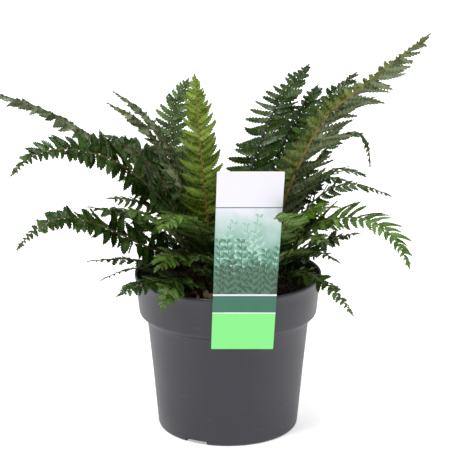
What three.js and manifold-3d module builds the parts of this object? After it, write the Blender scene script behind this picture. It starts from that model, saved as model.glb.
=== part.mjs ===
// A holly fern in a nursery pot: arching fronds with leaflets cut to the rib, the crown that they
// grow from, potting soil, dry leaflets on the soil, a plastic plant label and the pot.
// Millimetres, +Z up. The origin is the middle of the pot's underside, and -Y is the front.
import * as THREE from 'three';
import { mergeVertices } from 'three/addons/utils/BufferGeometryUtils.js';
import Module from 'manifold-3d';

const wasm = await Module();
wasm.setup();

// Driving dimensions of the pot
const POT_HEIGHT = 162;
const RIM_RADIUS = 95;
const COLLAR_FOOT_RADIUS = 90.6;
const COLLAR_FOOT_Z = 123;
const SHOULDER_RADIUS = 82.5;
const SHOULDER_Z = 114.5;
const FOOT_RADIUS = 71.8;
const WALL = 1.8;
const FLOOR_LIFT = 3.8;
const PAD_RADIUS = 28;
const FOOT_RING_WIDTH = 5;
const NOTCH_COUNT = 3;
const NOTCH_WIDTH = 24;
const NOTCH_AZIMUTH = 243;
const DRAIN_COUNT = 6;
const DRAIN_RADIUS = 5.5;
const DRAIN_RING_RADIUS = 50;
const POT_SIDES = 28;

// Soil, crown and dry leaflets
const GAP = 0.3;
const SOIL_Z = 146;
const BOWL_DEPTH = 5;
const CROWN_RADIUS = 43;
const CROWN_HEIGHT = 13;
const CROWN_SIDES = 16;
const DRY_THICKNESS = 0.7;

// Plant label, a tapered card that leans to the right and hangs over the rim by a tongue
const LABEL_TOP_WIDTH = 64;
const LABEL_FOOT_WIDTH = 60;
const LABEL_TOP_Z = 290;
const LABEL_FOOT_Z = 113;
const LABEL_TOP_X = 21.4;
const LABEL_FOOT_X = 13.5;
const LABEL_BACK_Y = -96;
const LABEL_THICKNESS = 0.8;
const TONGUE_WIDTH = 12;
const TONGUE_X = 16;
const TONGUE_INNER_Y = -84.8;
const TONGUE_TIP_Z = 126;

// Fronds: leaflets, and the stalk at its foot and at its tip
const LEAF_THICKNESS = 0.64;
const STALK_WIDTH = 2.8;
const STALK_TIP_WIDTH = 0.9;
const STALK_DEPTH = 2.4;
const STALK_TIP_DEPTH = 0.7;
const STALK_ROWS = 3;
const BLADE_END = 0.96;
const LEAFLET_ANGLE = 64;
const LEAFLET_DROOP = 12;
const LEAFLET_MIN = 3;
const STAGGER = 0.3;
const TIP_LOBE = 2;
const TIP_REACH = 5;
const CLEARANCE = 1.7;
const SHRINK = 0.85;
const PINCH = 0.03;
const SHRINK_TRIES = 12;
const MIN_OPENING = 0.03;

const COLOURS = {
  dark: 0x2c4a22,
  pale: 0x5f8a2e,
  bright: 0x4f8f2b,
  grey: 0x55663f,
  crown: 0x4a2f1c,
  soil: 0x1e1713,
  pot: 0x4d4c55,
  dry: 0xc9a468,
  label: 0xe9e9f0,
};

// Every frond: the points that its rachis passes through, the half width of its blade, the azimuth
// that it arches towards, its roll about the rachis, the bare share of its stalk, how late it tapers
// and its pairs of leaflets. Where its leaflets hang more than usual, it has a droop of its own.
// Where its two rows differ, it has the angle that each row makes with the rachis as its sweeps, and
// how far each row reaches, as a share of the blade's half width, as its reaches, or tapers of its own.
// Azimuth 0 is +X, the right, and 270 is the front.
const FRONDS = [
  {
    name: 'frond_front_pale', tone: 'pale', pairs: 15,
    half: 27, face: 262, roll: 0, bare: 0.22, taper: 3.2,
    sweeps: [70, 68],
    path: [[-12, -14, 149], [-18, -28, 203], [-23, -38, 257], [-28, -48, 319], [-32, -58, 377]],
  },
  {
    name: 'frond_right_long', tone: 'pale', pairs: 16,
    half: 30, face: 338, roll: 55, bare: 0.18, taper: 2.0,
    tapers: [1.4, 2.6],
    sweeps: [84, 54], reaches: [1, 1.1],
    path: [[20, -8, 149], [42, -25, 202], [63, -45, 271],
      [92, -60, 332], [136, -70, 374], [190, -78, 419]],
  },
  {
    name: 'frond_left_broad', tone: 'dark', pairs: 14,
    half: 30, face: 190, roll: 50, bare: 0.27, taper: 2.2,
    reaches: [1.2, 0.75],
    sweeps: [66, 98],
    path: [[-22, -10, 149], [-52, -25, 225], [-95, -45, 278],
      [-133, -60, 300], [-164, -69, 305], [-189, -76, 298], [-209, -81, 280]],
  },
  {
    name: 'frond_left_long', tone: 'grey', pairs: 14,
    half: 23, face: 175, roll: 0, droop: 34, bare: 0.24, taper: 3.4,
    sweeps: [54, 80], reaches: [0.8, 0.66],
    path: [[-18, 6, 149], [-50, 17, 220], [-75, 27, 260], [-101, 38, 282],
      [-131, 48, 287], [-166, 60, 305], [-205, 69, 321], [-256, 75, 335]],
  },
  {
    name: 'frond_left_low', tone: 'dark', pairs: 14,
    half: 27, face: 196, roll: 48, bare: 0.16, taper: 3.6,
    sweeps: [74, 98], reaches: [1.1, 0.7],
    path: [[-28, -20, 149], [-50, -30, 183], [-84, -45, 203],
      [-129, -60, 229], [-158, -71, 238], [-184, -80, 229], [-204, -85, 209]],
  },
  {
    name: 'frond_right_upright', tone: 'dark', pairs: 13,
    half: 34, face: 80, roll: 0, bare: 0.16, taper: 3.2,
    sweeps: [56, 96], reaches: [0.9, 1.05],
    path: [[4, 16, 149], [12, 25, 203], [27, 55, 265], [51, 85, 316], [86, 110, 356]],
  },
  {
    name: 'frond_right_inner', tone: 'dark', pairs: 11,
    half: 25, face: 40, roll: 0, bare: 0.2, taper: 4,
    sweeps: [54, 94],
    path: [[16, 8, 149], [34, 12, 207], [60, 35, 266], [93, 55, 320], [133, 70, 355]],
  },
  {
    name: 'frond_right_bright', tone: 'bright', pairs: 12,
    half: 23, face: 342, roll: -35, bare: 0.24, taper: 3.2,
    sweeps: [80, 58], reaches: [0.65, 1],
    path: [[28, -18, 149], [51, -35, 195], [85, -55, 227],
      [112, -64, 236], [138, -72, 235], [160, -79, 219], [176, -84, 190]],
  },
  {
    name: 'frond_back_left_upright', tone: 'dark', pairs: 11,
    half: 24, face: 95, roll: 0, bare: 0.2, taper: 3.6,
    path: [[-14, 24, 149], [-33, 36, 206], [-55, 64, 257], [-58, 86, 305], [-41, 102, 342]],
  },
  {
    name: 'frond_left_thin_high', tone: 'grey', pairs: 9,
    half: 11, face: 178, roll: 0, droop: 38, bare: 0.3, taper: 3.2,
    sweeps: [62, 72],
    path: [[-19, 23, 149], [-41, 30, 239], [-65, 54, 288], [-91, 76, 313], [-121, 98, 329]],
  },
  {
    name: 'frond_left_thin_low', tone: 'grey', pairs: 9,
    half: 11, face: 178, roll: 0, droop: 38, bare: 0.3, taper: 3.2,
    sweeps: [62, 72],
    path: [[-25, 18, 149], [-41, 20, 231], [-61, 38, 268], [-86, 55, 301], [-126, 78, 321]],
  },
  {
    name: 'frond_left_behind', tone: 'dark', pairs: 9,
    half: 22, face: 170, roll: 40, bare: 0.3, taper: 2.4,
    sweeps: [54, 94],
    path: [[-29, 22, 149], [-54, 38, 222], [-78, 62, 256], [-100, 80, 272], [-130, 96, 282]],
  },
  {
    name: 'frond_right_behind', tone: 'dark', pairs: 9,
    half: 22, face: 60, roll: 0, bare: 0.3, taper: 2.6,
    sweeps: [56, 94],
    path: [[14, 24, 149], [29, 44, 213], [52, 78, 261], [72, 104, 297], [96, 125, 331]],
  },
  {
    name: 'frond_right_drooping', tone: 'dark', pairs: 9,
    half: 10, face: 10, roll: 0, droop: 38, bare: 0.3, taper: 4,
    path: [[26, 2, 149], [54, 6, 202], [83, 20, 262],
      [108, 29, 292], [129, 34, 299], [142, 38, 286], [146, 40, 260]],
  },
  {
    name: 'frond_right_slim_back', tone: 'dark', pairs: 9,
    half: 14, face: 40, roll: 20, bare: 0.3, taper: 2.3,
    path: [[26, 16, 149], [60, 32, 206], [90, 60, 239], [115, 80, 250], [146, 95, 238]],
  },
  {
    name: 'frond_right_level', tone: 'dark', pairs: 9,
    half: 17, face: 5, roll: -20, droop: 34, bare: 0.3, taper: 2.2,
    path: [[32, -4, 149], [58, -2, 196], [91, 6, 238], [125, 10, 251], [165, 12, 238]],
  },
  {
    name: 'frond_right_short', tone: 'dark', pairs: 8,
    half: 18, face: 335, roll: -20, bare: 0.3, taper: 3,
    path: [[27, -12, 149], [47, -14, 203], [69, -22, 243], [92, -32, 266], [115, -42, 268]],
  },
  {
    name: 'frond_right_low_1', tone: 'dark', pairs: 8,
    half: 17, face: 8, roll: -20, bare: 0.26, taper: 2.3,
    sweeps: [86, 60],
    path: [[36, 8, 149], [58, 10, 170], [86, 16, 184], [109, 20, 191], [132, 24, 195]],
  },
  {
    name: 'frond_right_low_2', tone: 'dark', pairs: 8,
    half: 18, face: 338, roll: -10, bare: 0.24, taper: 2.4,
    sweeps: [86, 60],
    path: [[34, -14, 149], [57, -22, 174], [77, -33, 188], [91, -41, 194], [107, -49, 188]],
  },
  {
    name: 'frond_right_over_rim', tone: 'bright', pairs: 8,
    half: 12, face: 330, roll: -20, bare: 0.3, taper: 2.2,
    path: [[29, -24, 149], [52, -34, 163], [78, -50, 173], [100, -61, 165], [121, -70, 141]],
  },
  {
    name: 'frond_front_right', tone: 'bright', pairs: 7,
    half: 20, face: 290, roll: 0, bare: 0.22, taper: 2.6,
    path: [[20, -28, 149], [38, -46, 186], [53, -72, 224], [58, -98, 246], [48, -122, 257]],
  },
  {
    name: 'frond_left_mid_1', tone: 'dark', pairs: 8,
    half: 18, face: 200, roll: 10, bare: 0.24, taper: 2.3,
    sweeps: [60, 84],
    path: [[-22, -20, 149], [-38, -28, 192], [-60, -34, 226], [-88, -42, 246], [-116, -50, 252]],
  },
  {
    name: 'frond_left_mid_2', tone: 'bright', pairs: 8,
    half: 20, face: 215, roll: 10, bare: 0.24, taper: 2.3,
    sweeps: [60, 84],
    path: [[-18, -26, 149], [-34, -42, 190], [-55, -60, 223], [-80, -71, 241], [-104, -80, 250]],
  },
  {
    name: 'frond_left_low_thin', tone: 'dark', pairs: 8,
    half: 15, face: 176, roll: 0, bare: 0.3, taper: 2.2,
    sweeps: [58, 86],
    path: [[-36, 3, 149], [-60, 8, 164], [-84, 12, 169], [-112, 16, 170], [-141, 20, 167]],
  },
  {
    name: 'frond_left_wisp', tone: 'dark', pairs: 7,
    half: 6, face: 188, roll: 0, bare: 0.3, taper: 2.2,
    path: [[-36, -9, 149], [-60, -12, 160], [-80, -15, 168], [-100, -19, 170], [-124, -24, 162]],
  },
  {
    name: 'frond_front_left_rim', tone: 'dark', pairs: 9,
    half: 18, face: 222, roll: 25, bare: 0.2, taper: 3.2,
    sweeps: [60, 88],
    path: [[-27, -26, 149], [-41, -48, 167], [-62, -68, 174], [-83, -84, 175], [-104, -98, 169]],
  },
  {
    name: 'frond_front_left_over', tone: 'bright', pairs: 7,
    half: 18, face: 246, roll: 0, bare: 0.24, taper: 2.6,
    path: [[-18, -36, 149], [-28, -58, 168], [-42, -80, 179], [-54, -98, 176], [-64, -110, 158]],
  },
  {
    name: 'frond_front_left_near', tone: 'bright', pairs: 9,
    half: 23, face: 236, roll: 10, bare: 0.2, taper: 3.2,
    path: [[-10, -30, 149], [-22, -52, 178], [-38, -76, 200], [-54, -98, 208], [-68, -116, 200]],
  },
  {
    name: 'frond_front_left_high', tone: 'bright', pairs: 9,
    half: 25, face: 240, roll: 0, bare: 0.2, taper: 3.2,
    path: [[-6, -22, 149], [-18, -44, 200], [-34, -72, 236], [-50, -100, 248], [-64, -124, 240]],
  },
  {
    name: 'frond_front_low', tone: 'dark', pairs: 7,
    half: 19, face: 256, roll: 0, bare: 0.2, taper: 2.6,
    path: [[-4, -38, 149], [-10, -57, 176], [-18, -75, 197], [-26, -92, 207], [-34, -108, 206]],
  },
  {
    name: 'frond_left_inner_high', tone: 'dark', pairs: 9,
    half: 22, face: 188, roll: 30, bare: 0.16, taper: 2.6,
    sweeps: [60, 92],
    path: [[-10, 0, 149], [-24, -5, 186], [-39, -6, 224], [-53, -1, 250], [-68, 6, 268]],
  },
  {
    name: 'frond_left_inner_mid', tone: 'dark', pairs: 8,
    half: 17, face: 186, roll: 25, bare: 0.2, taper: 2.4,
    sweeps: [60, 92],
    path: [[-30, -4, 149], [-38, -8, 188], [-50, -10, 221], [-66, -10, 240], [-84, -8, 248]],
  },
  {
    name: 'frond_centre_dark', tone: 'dark', pairs: 9,
    half: 24, face: 115, roll: 0, bare: 0.16, taper: 2.8,
    path: [[-4, 6, 149], [-12, 9, 188], [-21, 18, 226], [-30, 32, 260], [-42, 50, 288]],
  },
  {
    name: 'frond_right_inner_dark', tone: 'dark', pairs: 9,
    half: 20, face: 25, roll: 0, bare: 0.16, taper: 2.6,
    path: [[10, -5, 149], [24, -6, 186], [41, -2, 222], [58, 8, 254], [76, 22, 280]],
  },
  {
    name: 'frond_right_mid', tone: 'bright', pairs: 8,
    half: 22, face: 330, roll: -20, bare: 0.24, taper: 2.4,
    sweeps: [84, 60],
    path: [[18, -22, 149], [38, -34, 188], [58, -42, 218], [81, -52, 241], [106, -60, 246]],
  },
  {
    name: 'frond_right_front', tone: 'bright', pairs: 8,
    half: 20, face: 318, roll: -10, bare: 0.22, taper: 2.4,
    sweeps: [84, 60],
    path: [[16, -35, 149], [36, -51, 176], [60, -62, 203], [80, -76, 221], [98, -90, 216]],
  },
  {
    name: 'frond_right_soil', tone: 'dark', pairs: 7,
    half: 14, face: 320, roll: -10, bare: 0.2, taper: 2.4,
    sweeps: [84, 60],
    path: [[25, -31, 149], [40, -46, 166], [57, -60, 178], [74, -72, 184], [90, -83, 178]],
  },
  {
    name: 'frond_back_1', tone: 'dark', pairs: 9,
    half: 22, face: 18, roll: 0, bare: 0.18, taper: 2.4,
    path: [[30, 22, 149], [57, 40, 180], [84, 61, 195], [107, 80, 194], [127, 98, 180]],
  },
  {
    name: 'frond_back_2', tone: 'dark', pairs: 9,
    half: 24, face: 48, roll: 0, bare: 0.18, taper: 2.4,
    path: [[20, 32, 149], [40, 62, 190], [63, 98, 217], [82, 132, 222], [98, 162, 209]],
  },
  {
    name: 'frond_back_3', tone: 'dark', pairs: 9,
    half: 26, face: 78, roll: 0, bare: 0.18, taper: 2.4,
    path: [[8, 34, 149], [16, 66, 190], [28, 112, 222], [38, 160, 222], [44, 200, 196]],
  },
  {
    name: 'frond_back_4', tone: 'dark', pairs: 9,
    half: 26, face: 105, roll: 0, bare: 0.18, taper: 2.4,
    path: [[-4, 32, 149], [-12, 62, 196], [-24, 104, 232], [-38, 150, 236], [-52, 190, 212]],
  },
  {
    name: 'frond_back_5', tone: 'dark', pairs: 9,
    half: 24, face: 132, roll: 0, bare: 0.18, taper: 2.4,
    path: [[-16, 32, 149], [-37, 64, 190], [-66, 98, 221], [-95, 124, 229], [-120, 146, 220]],
  },
  {
    name: 'frond_back_6', tone: 'dark', pairs: 9,
    half: 20, face: 158, roll: 0, bare: 0.18, taper: 2.4,
    path: [[-32, 30, 149], [-56, 44, 178], [-84, 60, 196], [-114, 76, 203], [-149, 92, 205]],
  },
];

// Dry leaflets fallen on the soil: where each lies, its length and width, turn and tilt
const DRY_LEAFLETS = [
  { name: 'dry_leaflet_1', at: [-15, -56], lift: 0.03, size: [22, 8], turn: 100, tilt: 66 },
  { name: 'dry_leaflet_2', at: [-23, -61], lift: 1.15, size: [16, 7], turn: 84, tilt: 44 },
  { name: 'dry_leaflet_3', at: [-7, -62], lift: 0.25, size: [17, 7], turn: 128, tilt: 44 },
];

const plant = new THREE.Group();
const rad = (degrees) => THREE.MathUtils.degToRad(degrees);
const mix = THREE.MathUtils.lerp;

function addPart(name, geometry, colour, roughness) {
  const material = new THREE.MeshStandardMaterial({ color: colour, roughness, metalness: 0 });
  const mesh = new THREE.Mesh(geometry, material);
  mesh.name = name;
  plant.add(mesh);
}

// A closed geometry as a solid that can be joined and cut
function solidFrom(geometry) {
  const bare = geometry.clone();
  bare.deleteAttribute('normal');
  bare.deleteAttribute('uv');
  const merged = mergeVertices(bare, 1e-3);
  return new wasm.Manifold(new wasm.Mesh({
    numProp: 3,
    vertProperties: merged.attributes.position.array,
    triVerts: new Uint32Array(merged.index.array),
  }));
}

function geometryFrom(solid) {
  const mesh = solid.getMesh();
  const geometry = new THREE.BufferGeometry();
  geometry.setAttribute('position', new THREE.BufferAttribute(new Float32Array(mesh.vertProperties), 3));
  geometry.setIndex(new THREE.BufferAttribute(new Uint32Array(mesh.triVerts), 1));
  return geometry;
}

function geometryOf(points, triangles) {
  const geometry = new THREE.BufferGeometry().setFromPoints(points);
  geometry.setIndex(triangles);
  return geometry;
}

function turned(profile, sides) {
  const points = profile.map(([radius, z]) => new THREE.Vector2(radius, z));
  return new THREE.LatheGeometry(points, sides).rotateX(Math.PI / 2);
}

// The pot is one moulding: a tapered wall with a wide collar, on a foot ring with three notches.
// Its floor is lifted off the ground but for a flat pad in the middle, and has drain holes.
function makePot() {
  const ringInner = FOOT_RADIUS - 2 - FOOT_RING_WIDTH;
  const floorTop = FLOOR_LIFT + WALL;
  let pot = solidFrom(turned([
    [0, 0],
    [PAD_RADIUS, 0],
    [PAD_RADIUS + 3, FLOOR_LIFT],
    [ringInner - 1, FLOOR_LIFT],
    [ringInner, 0],
    [FOOT_RADIUS - 2, 0],
    [FOOT_RADIUS, 2.5],
    [SHOULDER_RADIUS, SHOULDER_Z],
    [COLLAR_FOOT_RADIUS - 2, COLLAR_FOOT_Z - 3.5],
    [COLLAR_FOOT_RADIUS, COLLAR_FOOT_Z],
    [RIM_RADIUS - 0.6, POT_HEIGHT - 3.4],
    [RIM_RADIUS, POT_HEIGHT - 1.2],
    [RIM_RADIUS - 1, POT_HEIGHT],
    [RIM_RADIUS - 2.6, POT_HEIGHT - 1],
    [innerRadius(COLLAR_FOOT_Z), COLLAR_FOOT_Z],
    [innerRadius(SHOULDER_Z), SHOULDER_Z],
    [innerRadius(floorTop), floorTop],
    [PAD_RADIUS + 2, floorTop],
    [PAD_RADIUS - 1, WALL],
    [0, WALL],
  ], POT_SIDES));
  for (let i = 0; i < NOTCH_COUNT; i += 1) {
    const notch = new THREE.BoxGeometry(FOOT_RING_WIDTH * 3, NOTCH_WIDTH, FLOOR_LIFT * 2);
    notch.translate(FOOT_RADIUS, 0, 0).rotateZ(rad(NOTCH_AZIMUTH + (360 / NOTCH_COUNT) * i));
    pot = pot.subtract(solidFrom(notch));
  }
  for (let i = 0; i < DRAIN_COUNT; i += 1) {
    const hole = new THREE.CylinderGeometry(DRAIN_RADIUS, DRAIN_RADIUS, floorTop * 2, 6);
    hole.rotateX(Math.PI / 2).translate(DRAIN_RING_RADIUS, 0, floorTop);
    hole.rotateZ((2 * Math.PI * i) / DRAIN_COUNT);
    pot = pot.subtract(solidFrom(hole));
  }
  return geometryFrom(pot);
}

// The radius of the pot's inner wall at a height above its floor
function innerRadius(z) {
  const down = (SHOULDER_Z - z) / SHOULDER_Z;
  if (down >= 0) return mix(SHOULDER_RADIUS, FOOT_RADIUS, down) - WALL;
  const collar = Math.max((z - COLLAR_FOOT_Z) / (POT_HEIGHT - COLLAR_FOOT_Z), 0);
  return mix(COLLAR_FOOT_RADIUS, RIM_RADIUS - 0.6, collar) - WALL;
}

// The soil's top is lumpy, but smooth at the pot's wall and round the crown
function soilTop(x, y) {
  const radius = Math.hypot(x, y);
  const open = THREE.MathUtils.clamp((radius - CROWN_RADIUS - 1) / 6, 0, 1)
    * THREE.MathUtils.clamp((innerRadius(SOIL_Z) - radius) / 6, 0, 1);
  return SOIL_Z + open * (1.2 * Math.sin(x / 9 + 1) * Math.cos(y / 11) + 0.7 * Math.sin((x + y) / 6));
}

// The soil fills the pot to 16 mm under the rim, and has a bowl for the crown and a slit for the label
function makeSoil(labelHole) {
  const floorTop = FLOOR_LIFT + WALL + GAP;
  const rim = innerRadius(SOIL_Z) - GAP;
  const geometry = turned([
    [0, WALL + GAP],
    [PAD_RADIUS - 1.2, WALL + GAP],
    [PAD_RADIUS + 1.8, floorTop],
    [innerRadius(floorTop) - GAP, floorTop],
    [innerRadius(SHOULDER_Z) - GAP, SHOULDER_Z],
    [innerRadius(COLLAR_FOOT_Z) - GAP, COLLAR_FOOT_Z + GAP],
    [rim, SOIL_Z],
    [mix(rim, CROWN_RADIUS, 0.33), SOIL_Z],
    [mix(rim, CROWN_RADIUS, 0.67), SOIL_Z],
    [CROWN_RADIUS + 1, SOIL_Z],
    [CROWN_RADIUS - 2, SOIL_Z - BOWL_DEPTH],
    [0, SOIL_Z - BOWL_DEPTH],
  ], POT_SIDES);
  const position = geometry.attributes.position;
  for (let i = 0; i < position.count; i += 1) {
    const x = position.getX(i);
    const y = position.getY(i);
    if (position.getZ(i) > SOIL_Z - 1) position.setZ(i, soilTop(x, y));
  }
  return geometryFrom(solidFrom(geometry).subtract(solidFrom(labelHole)));
}

// The crown is a low knobbly mound of old stalk bases, with a plain socket for every stalk
function makeCrown(rachises) {
  const geometry = turned([
    [0, SOIL_Z - BOWL_DEPTH + GAP],
    [CROWN_RADIUS - 2.4, SOIL_Z - BOWL_DEPTH + GAP],
    [CROWN_RADIUS, SOIL_Z + 1],
    [CROWN_RADIUS - 1.5, SOIL_Z + CROWN_HEIGHT * 0.55],
    [CROWN_RADIUS * 0.6, SOIL_Z + CROWN_HEIGHT],
    [0, SOIL_Z + CROWN_HEIGHT],
  ], CROWN_SIDES);
  const position = geometry.attributes.position;
  for (let i = 0; i < position.count; i += 1) {
    const x = position.getX(i);
    const y = position.getY(i);
    const knob = Math.sin(x / 5) * Math.cos(y / 6 + 1);
    if (position.getZ(i) > SOIL_Z + 2) position.setZ(i, position.getZ(i) + 1.6 * knob);
  }
  let crown = solidFrom(geometry);
  for (const rachis of rachises) crown = crown.subtract(solidFrom(socketFor(rachis)));
  return geometryFrom(crown);
}

// A stalk's lowest stretch made fatter all round, which cuts its socket
function socketFor(rachis) {
  const rows = rachis.rows.slice(0, 3).map(({ left, right }) => [left[0], left[1], right[1], right[0]]);
  const centres = rows.map((row) => row[0].clone().lerp(row[2], 0.5));
  const down = centres[0].clone().sub(centres[1]).normalize();
  const points = rows.flatMap((row, i) => row.map((corner) => {
    const grown = corner.clone().addScaledVector(corner.clone().sub(centres[i]).normalize(), GAP * 1.5);
    return i ? grown : grown.addScaledVector(down, GAP);
  }));
  const triangles = [0, 1, 2, 0, 2, 3, 8, 10, 9, 8, 11, 10];
  for (let i = 0; i < 8; i += 1) {
    const next = i % 4 === 3 ? i - 3 : i + 1;
    triangles.push(i, i + 4, next + 4, i, next + 4, next);
  }
  return geometryOf(points, triangles);
}

// The label: a thin tapered card with a tongue behind it, over the rim and down into the soil
function labelCorners(y) {
  const corner = (x, width, z, hand) => new THREE.Vector3(x + (hand * width) / 2, y, z);
  return [
    corner(LABEL_FOOT_X, LABEL_FOOT_WIDTH, LABEL_FOOT_Z, -1),
    corner(LABEL_FOOT_X, LABEL_FOOT_WIDTH, LABEL_FOOT_Z, 1),
    corner(LABEL_TOP_X, LABEL_TOP_WIDTH, LABEL_TOP_Z, 1),
    corner(LABEL_TOP_X, LABEL_TOP_WIDTH, LABEL_TOP_Z, -1),
  ];
}

function tongue(spare) {
  const t = LABEL_THICKNESS;
  const over = POT_HEIGHT + GAP;
  const outline = [
    [LABEL_BACK_Y - t / 2, over - spare], [TONGUE_INNER_Y - spare, over - spare],
    [TONGUE_INNER_Y - spare, TONGUE_TIP_Z - spare], [TONGUE_INNER_Y + t + spare, TONGUE_TIP_Z - spare],
    [TONGUE_INNER_Y + t + spare, over + t + spare], [LABEL_BACK_Y - t / 2, over + t + spare],
  ];
  const shape = new THREE.Shape(outline.map(([y, z]) => new THREE.Vector2(y, z)));
  const depth = TONGUE_WIDTH + spare * 2;
  const geometry = new THREE.ExtrudeGeometry(shape, { depth, bevelEnabled: false });
  // The outline is drawn across y and z, so its depth is turned to run along x
  geometry.applyMatrix4(new THREE.Matrix4().set(0, 0, 1, 0, 1, 0, 0, 0, 0, 1, 0, 0, 0, 0, 0, 1));
  return geometry.translate(TONGUE_X - TONGUE_WIDTH / 2 - spare, 0, 0);
}

function makeLabel() {
  const front = labelCorners(LABEL_BACK_Y - LABEL_THICKNESS);
  const back = labelCorners(LABEL_BACK_Y);
  const sides = [0, 1, 2, 3].flatMap((i) => {
    const next = (i + 1) % 4;
    return [i, i + 4, next + 4, i, next + 4, next];
  });
  const card = geometryOf([...front, ...back], [0, 1, 2, 0, 2, 3, 4, 6, 5, 4, 7, 6, ...sides]);
  return geometryFrom(solidFrom(card).add(solidFrom(tongue(0))));
}

// A dry leaflet: a small pointed plate, bent along its middle
function makeDryLeaflet({ at, lift, size, turn, tilt }) {
  const [length, width] = size;
  const rim = [[-0.5, 0, 0], [0, -0.5, 1], [0.5, 0, 0], [0, 0.5, 1]];
  const points = [0, DRY_THICKNESS].flatMap((level) => rim.map(([u, v, bend]) => (
    new THREE.Vector3(u * length, v * width, level + bend * width * 0.15))));
  const sides = [0, 1, 2, 3].flatMap((i) => {
    const next = (i + 1) % 4;
    return [i, next, next + 4, i, next + 4, i + 4];
  });
  const geometry = geometryOf(points, [0, 2, 1, 0, 3, 2, 4, 5, 6, 4, 6, 7, ...sides]);
  geometry.rotateY(rad(-tilt)).rotateZ(rad(turn));
  geometry.computeBoundingBox();
  const lowest = geometry.boundingBox.min.z;
  return geometry.translate(at[0], at[1], soilTop(...at) + lift - lowest);
}

// A frond's own axes at a share of its length: along the rachis, sideways, and out of its upper face
function frondAxes(frond) {
  const through = frond.path.map((point) => new THREE.Vector3(...point));
  const curve = new THREE.CatmullRomCurve3(through, false, 'catmullrom', 0.5);
  const level = new THREE.Vector3(Math.sin(rad(frond.face)), -Math.cos(rad(frond.face)), 0);
  return (share) => {
    const t = THREE.MathUtils.clamp(share, 0, 1);
    const along = curve.getTangentAt(t);
    const up = new THREE.Vector3().crossVectors(level, along).normalize();
    up.applyAxisAngle(along, rad(-frond.roll));
    const side = new THREE.Vector3().crossVectors(along, up);
    return { point: curve.getPointAt(t), along, side, up, length: curve.getLength() };
  };
}

// What a frond has for one of its two rows of leaflets, or else the usual value
function rowValue(values, hand, usual) {
  return values ? values[hand > 0 ? 0 : 1] : usual;
}

// The angle between the rachis and the leaflets of a row
function rowSweep(frond, hand) {
  return rad(rowValue(frond.sweeps, hand, LEAFLET_ANGLE));
}

// How far the blade goes out to one side, at a share of the blade's own length
function bladeWidth(frond, u, hand) {
  const reach = frond.half * rowValue(frond.reaches, hand, 1);
  return reach * Math.min(1, 0.62 + 1.6 * u) * (1 - u ** rowValue(frond.tapers, hand, frond.taper));
}

// The rachis as rows of four corners. The left leaflets stand a little behind the right ones.
function growRachis(frond) {
  const axesAt = frondAxes(frond);
  const step = (BLADE_END - frond.bare) / frond.pairs;
  const corner = (share, hand, level) => {
    const axes = axesAt(share);
    const width = mix(STALK_WIDTH, STALK_TIP_WIDTH, share) / 2;
    const depth = mix(STALK_DEPTH, STALK_TIP_DEPTH, share) / 2;
    return axes.point.clone().addScaledVector(axes.side, hand * width)
      .addScaledVector(axes.up, level * depth);
  };
  const row = (share, stagger) => ({
    left: [corner(share, -1, 1), corner(share, -1, -1)],
    right: [corner(share + stagger, 1, 1), corner(share + stagger, 1, -1)],
  });
  const rows = [];
  for (let i = 0; i < STALK_ROWS; i += 1) rows.push(row((frond.bare * i) / STALK_ROWS, 0));
  for (let i = 0; i <= frond.pairs; i += 1) {
    const stagger = i > 0 && i < frond.pairs ? step * STAGGER : 0;
    rows.push(row(frond.bare + step * i, stagger));
  }
  return { frond, axesAt, rows, step };
}

// The three free corners of a leaflet, from its outer edge over its tip to the ear next to the rachis.
// Each side leaves the rachis at a foot of its own, so neighbours part from where they meet, and a
// pinch brings the two sides closer together.
function leafletCorners(frond, axes, feet, hand, reach, pinch) {
  const sweep = rowSweep(frond, hand);
  const droop = rad(frond.droop ?? LEAFLET_DROOP);
  const blend = (first, share, second, otherShare) => (
    first.clone().multiplyScalar(share).addScaledVector(second, otherShare));
  const out = blend(axes.side, hand * Math.cos(droop), axes.up, -Math.sin(droop));
  const axis = blend(axes.along, Math.cos(sweep), out, Math.sin(sweep));
  const across = blend(axes.along, Math.sin(sweep), out, -Math.cos(sweep));
  const normal = new THREE.Vector3().crossVectors(axis, across).multiplyScalar(hand);
  const spacing = feet[0].distanceTo(feet[1]);
  const from = (foot, u, v, sink) => foot.clone().addScaledVector(axis, u * reach)
    .addScaledVector(across, v * spacing).addScaledVector(normal, -sink * reach);
  const middle = feet[0].clone().lerp(feet[1], 0.5);
  const outer = from(feet[0], 0.5, 0.1 + pinch, 0.03);
  const tip = from(middle, 1, 0.1, 0.03);
  const ear = from(feet[1], 0.3, -0.02 - pinch, 0.02);
  return { normal, free: [outer, tip, ear] };
}

// A leaflet's five corners make three facets
function facets([a, b, c, d, e]) {
  return [new THREE.Triangle(a, b, c), new THREE.Triangle(a, c, e), new THREE.Triangle(c, d, e)];
}

// Points spread evenly over a facet
function spread({ a, b, c }, spacing) {
  const count = Math.max(2, Math.ceil(Math.max(a.distanceTo(b), a.distanceTo(c)) / spacing));
  const points = [];
  for (let i = 0; i <= count; i += 1) {
    for (let j = 0; j <= count - i; j += 1) {
      const left = 1 - (i + j) / count;
      points.push(new THREE.Vector3().addScaledVector(a, left).addScaledVector(b, i / count)
        .addScaledVector(c, j / count));
    }
  }
  return points;
}

// Whether a point is in the pot's wall or the soil, or too near them
function nearPot(point) {
  const radius = Math.hypot(point.x, point.y);
  const overRim = point.z < POT_HEIGHT + CLEARANCE && Math.abs(radius - RIM_RADIUS + 2) < 3 + CLEARANCE;
  const inside = point.z < SOIL_Z + 3 && radius < RIM_RADIUS + CLEARANCE;
  const inCrown = point.z < SOIL_Z + CROWN_HEIGHT + 3 && radius < CROWN_RADIUS + CLEARANCE;
  return overRim || inside || inCrown;
}

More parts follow.
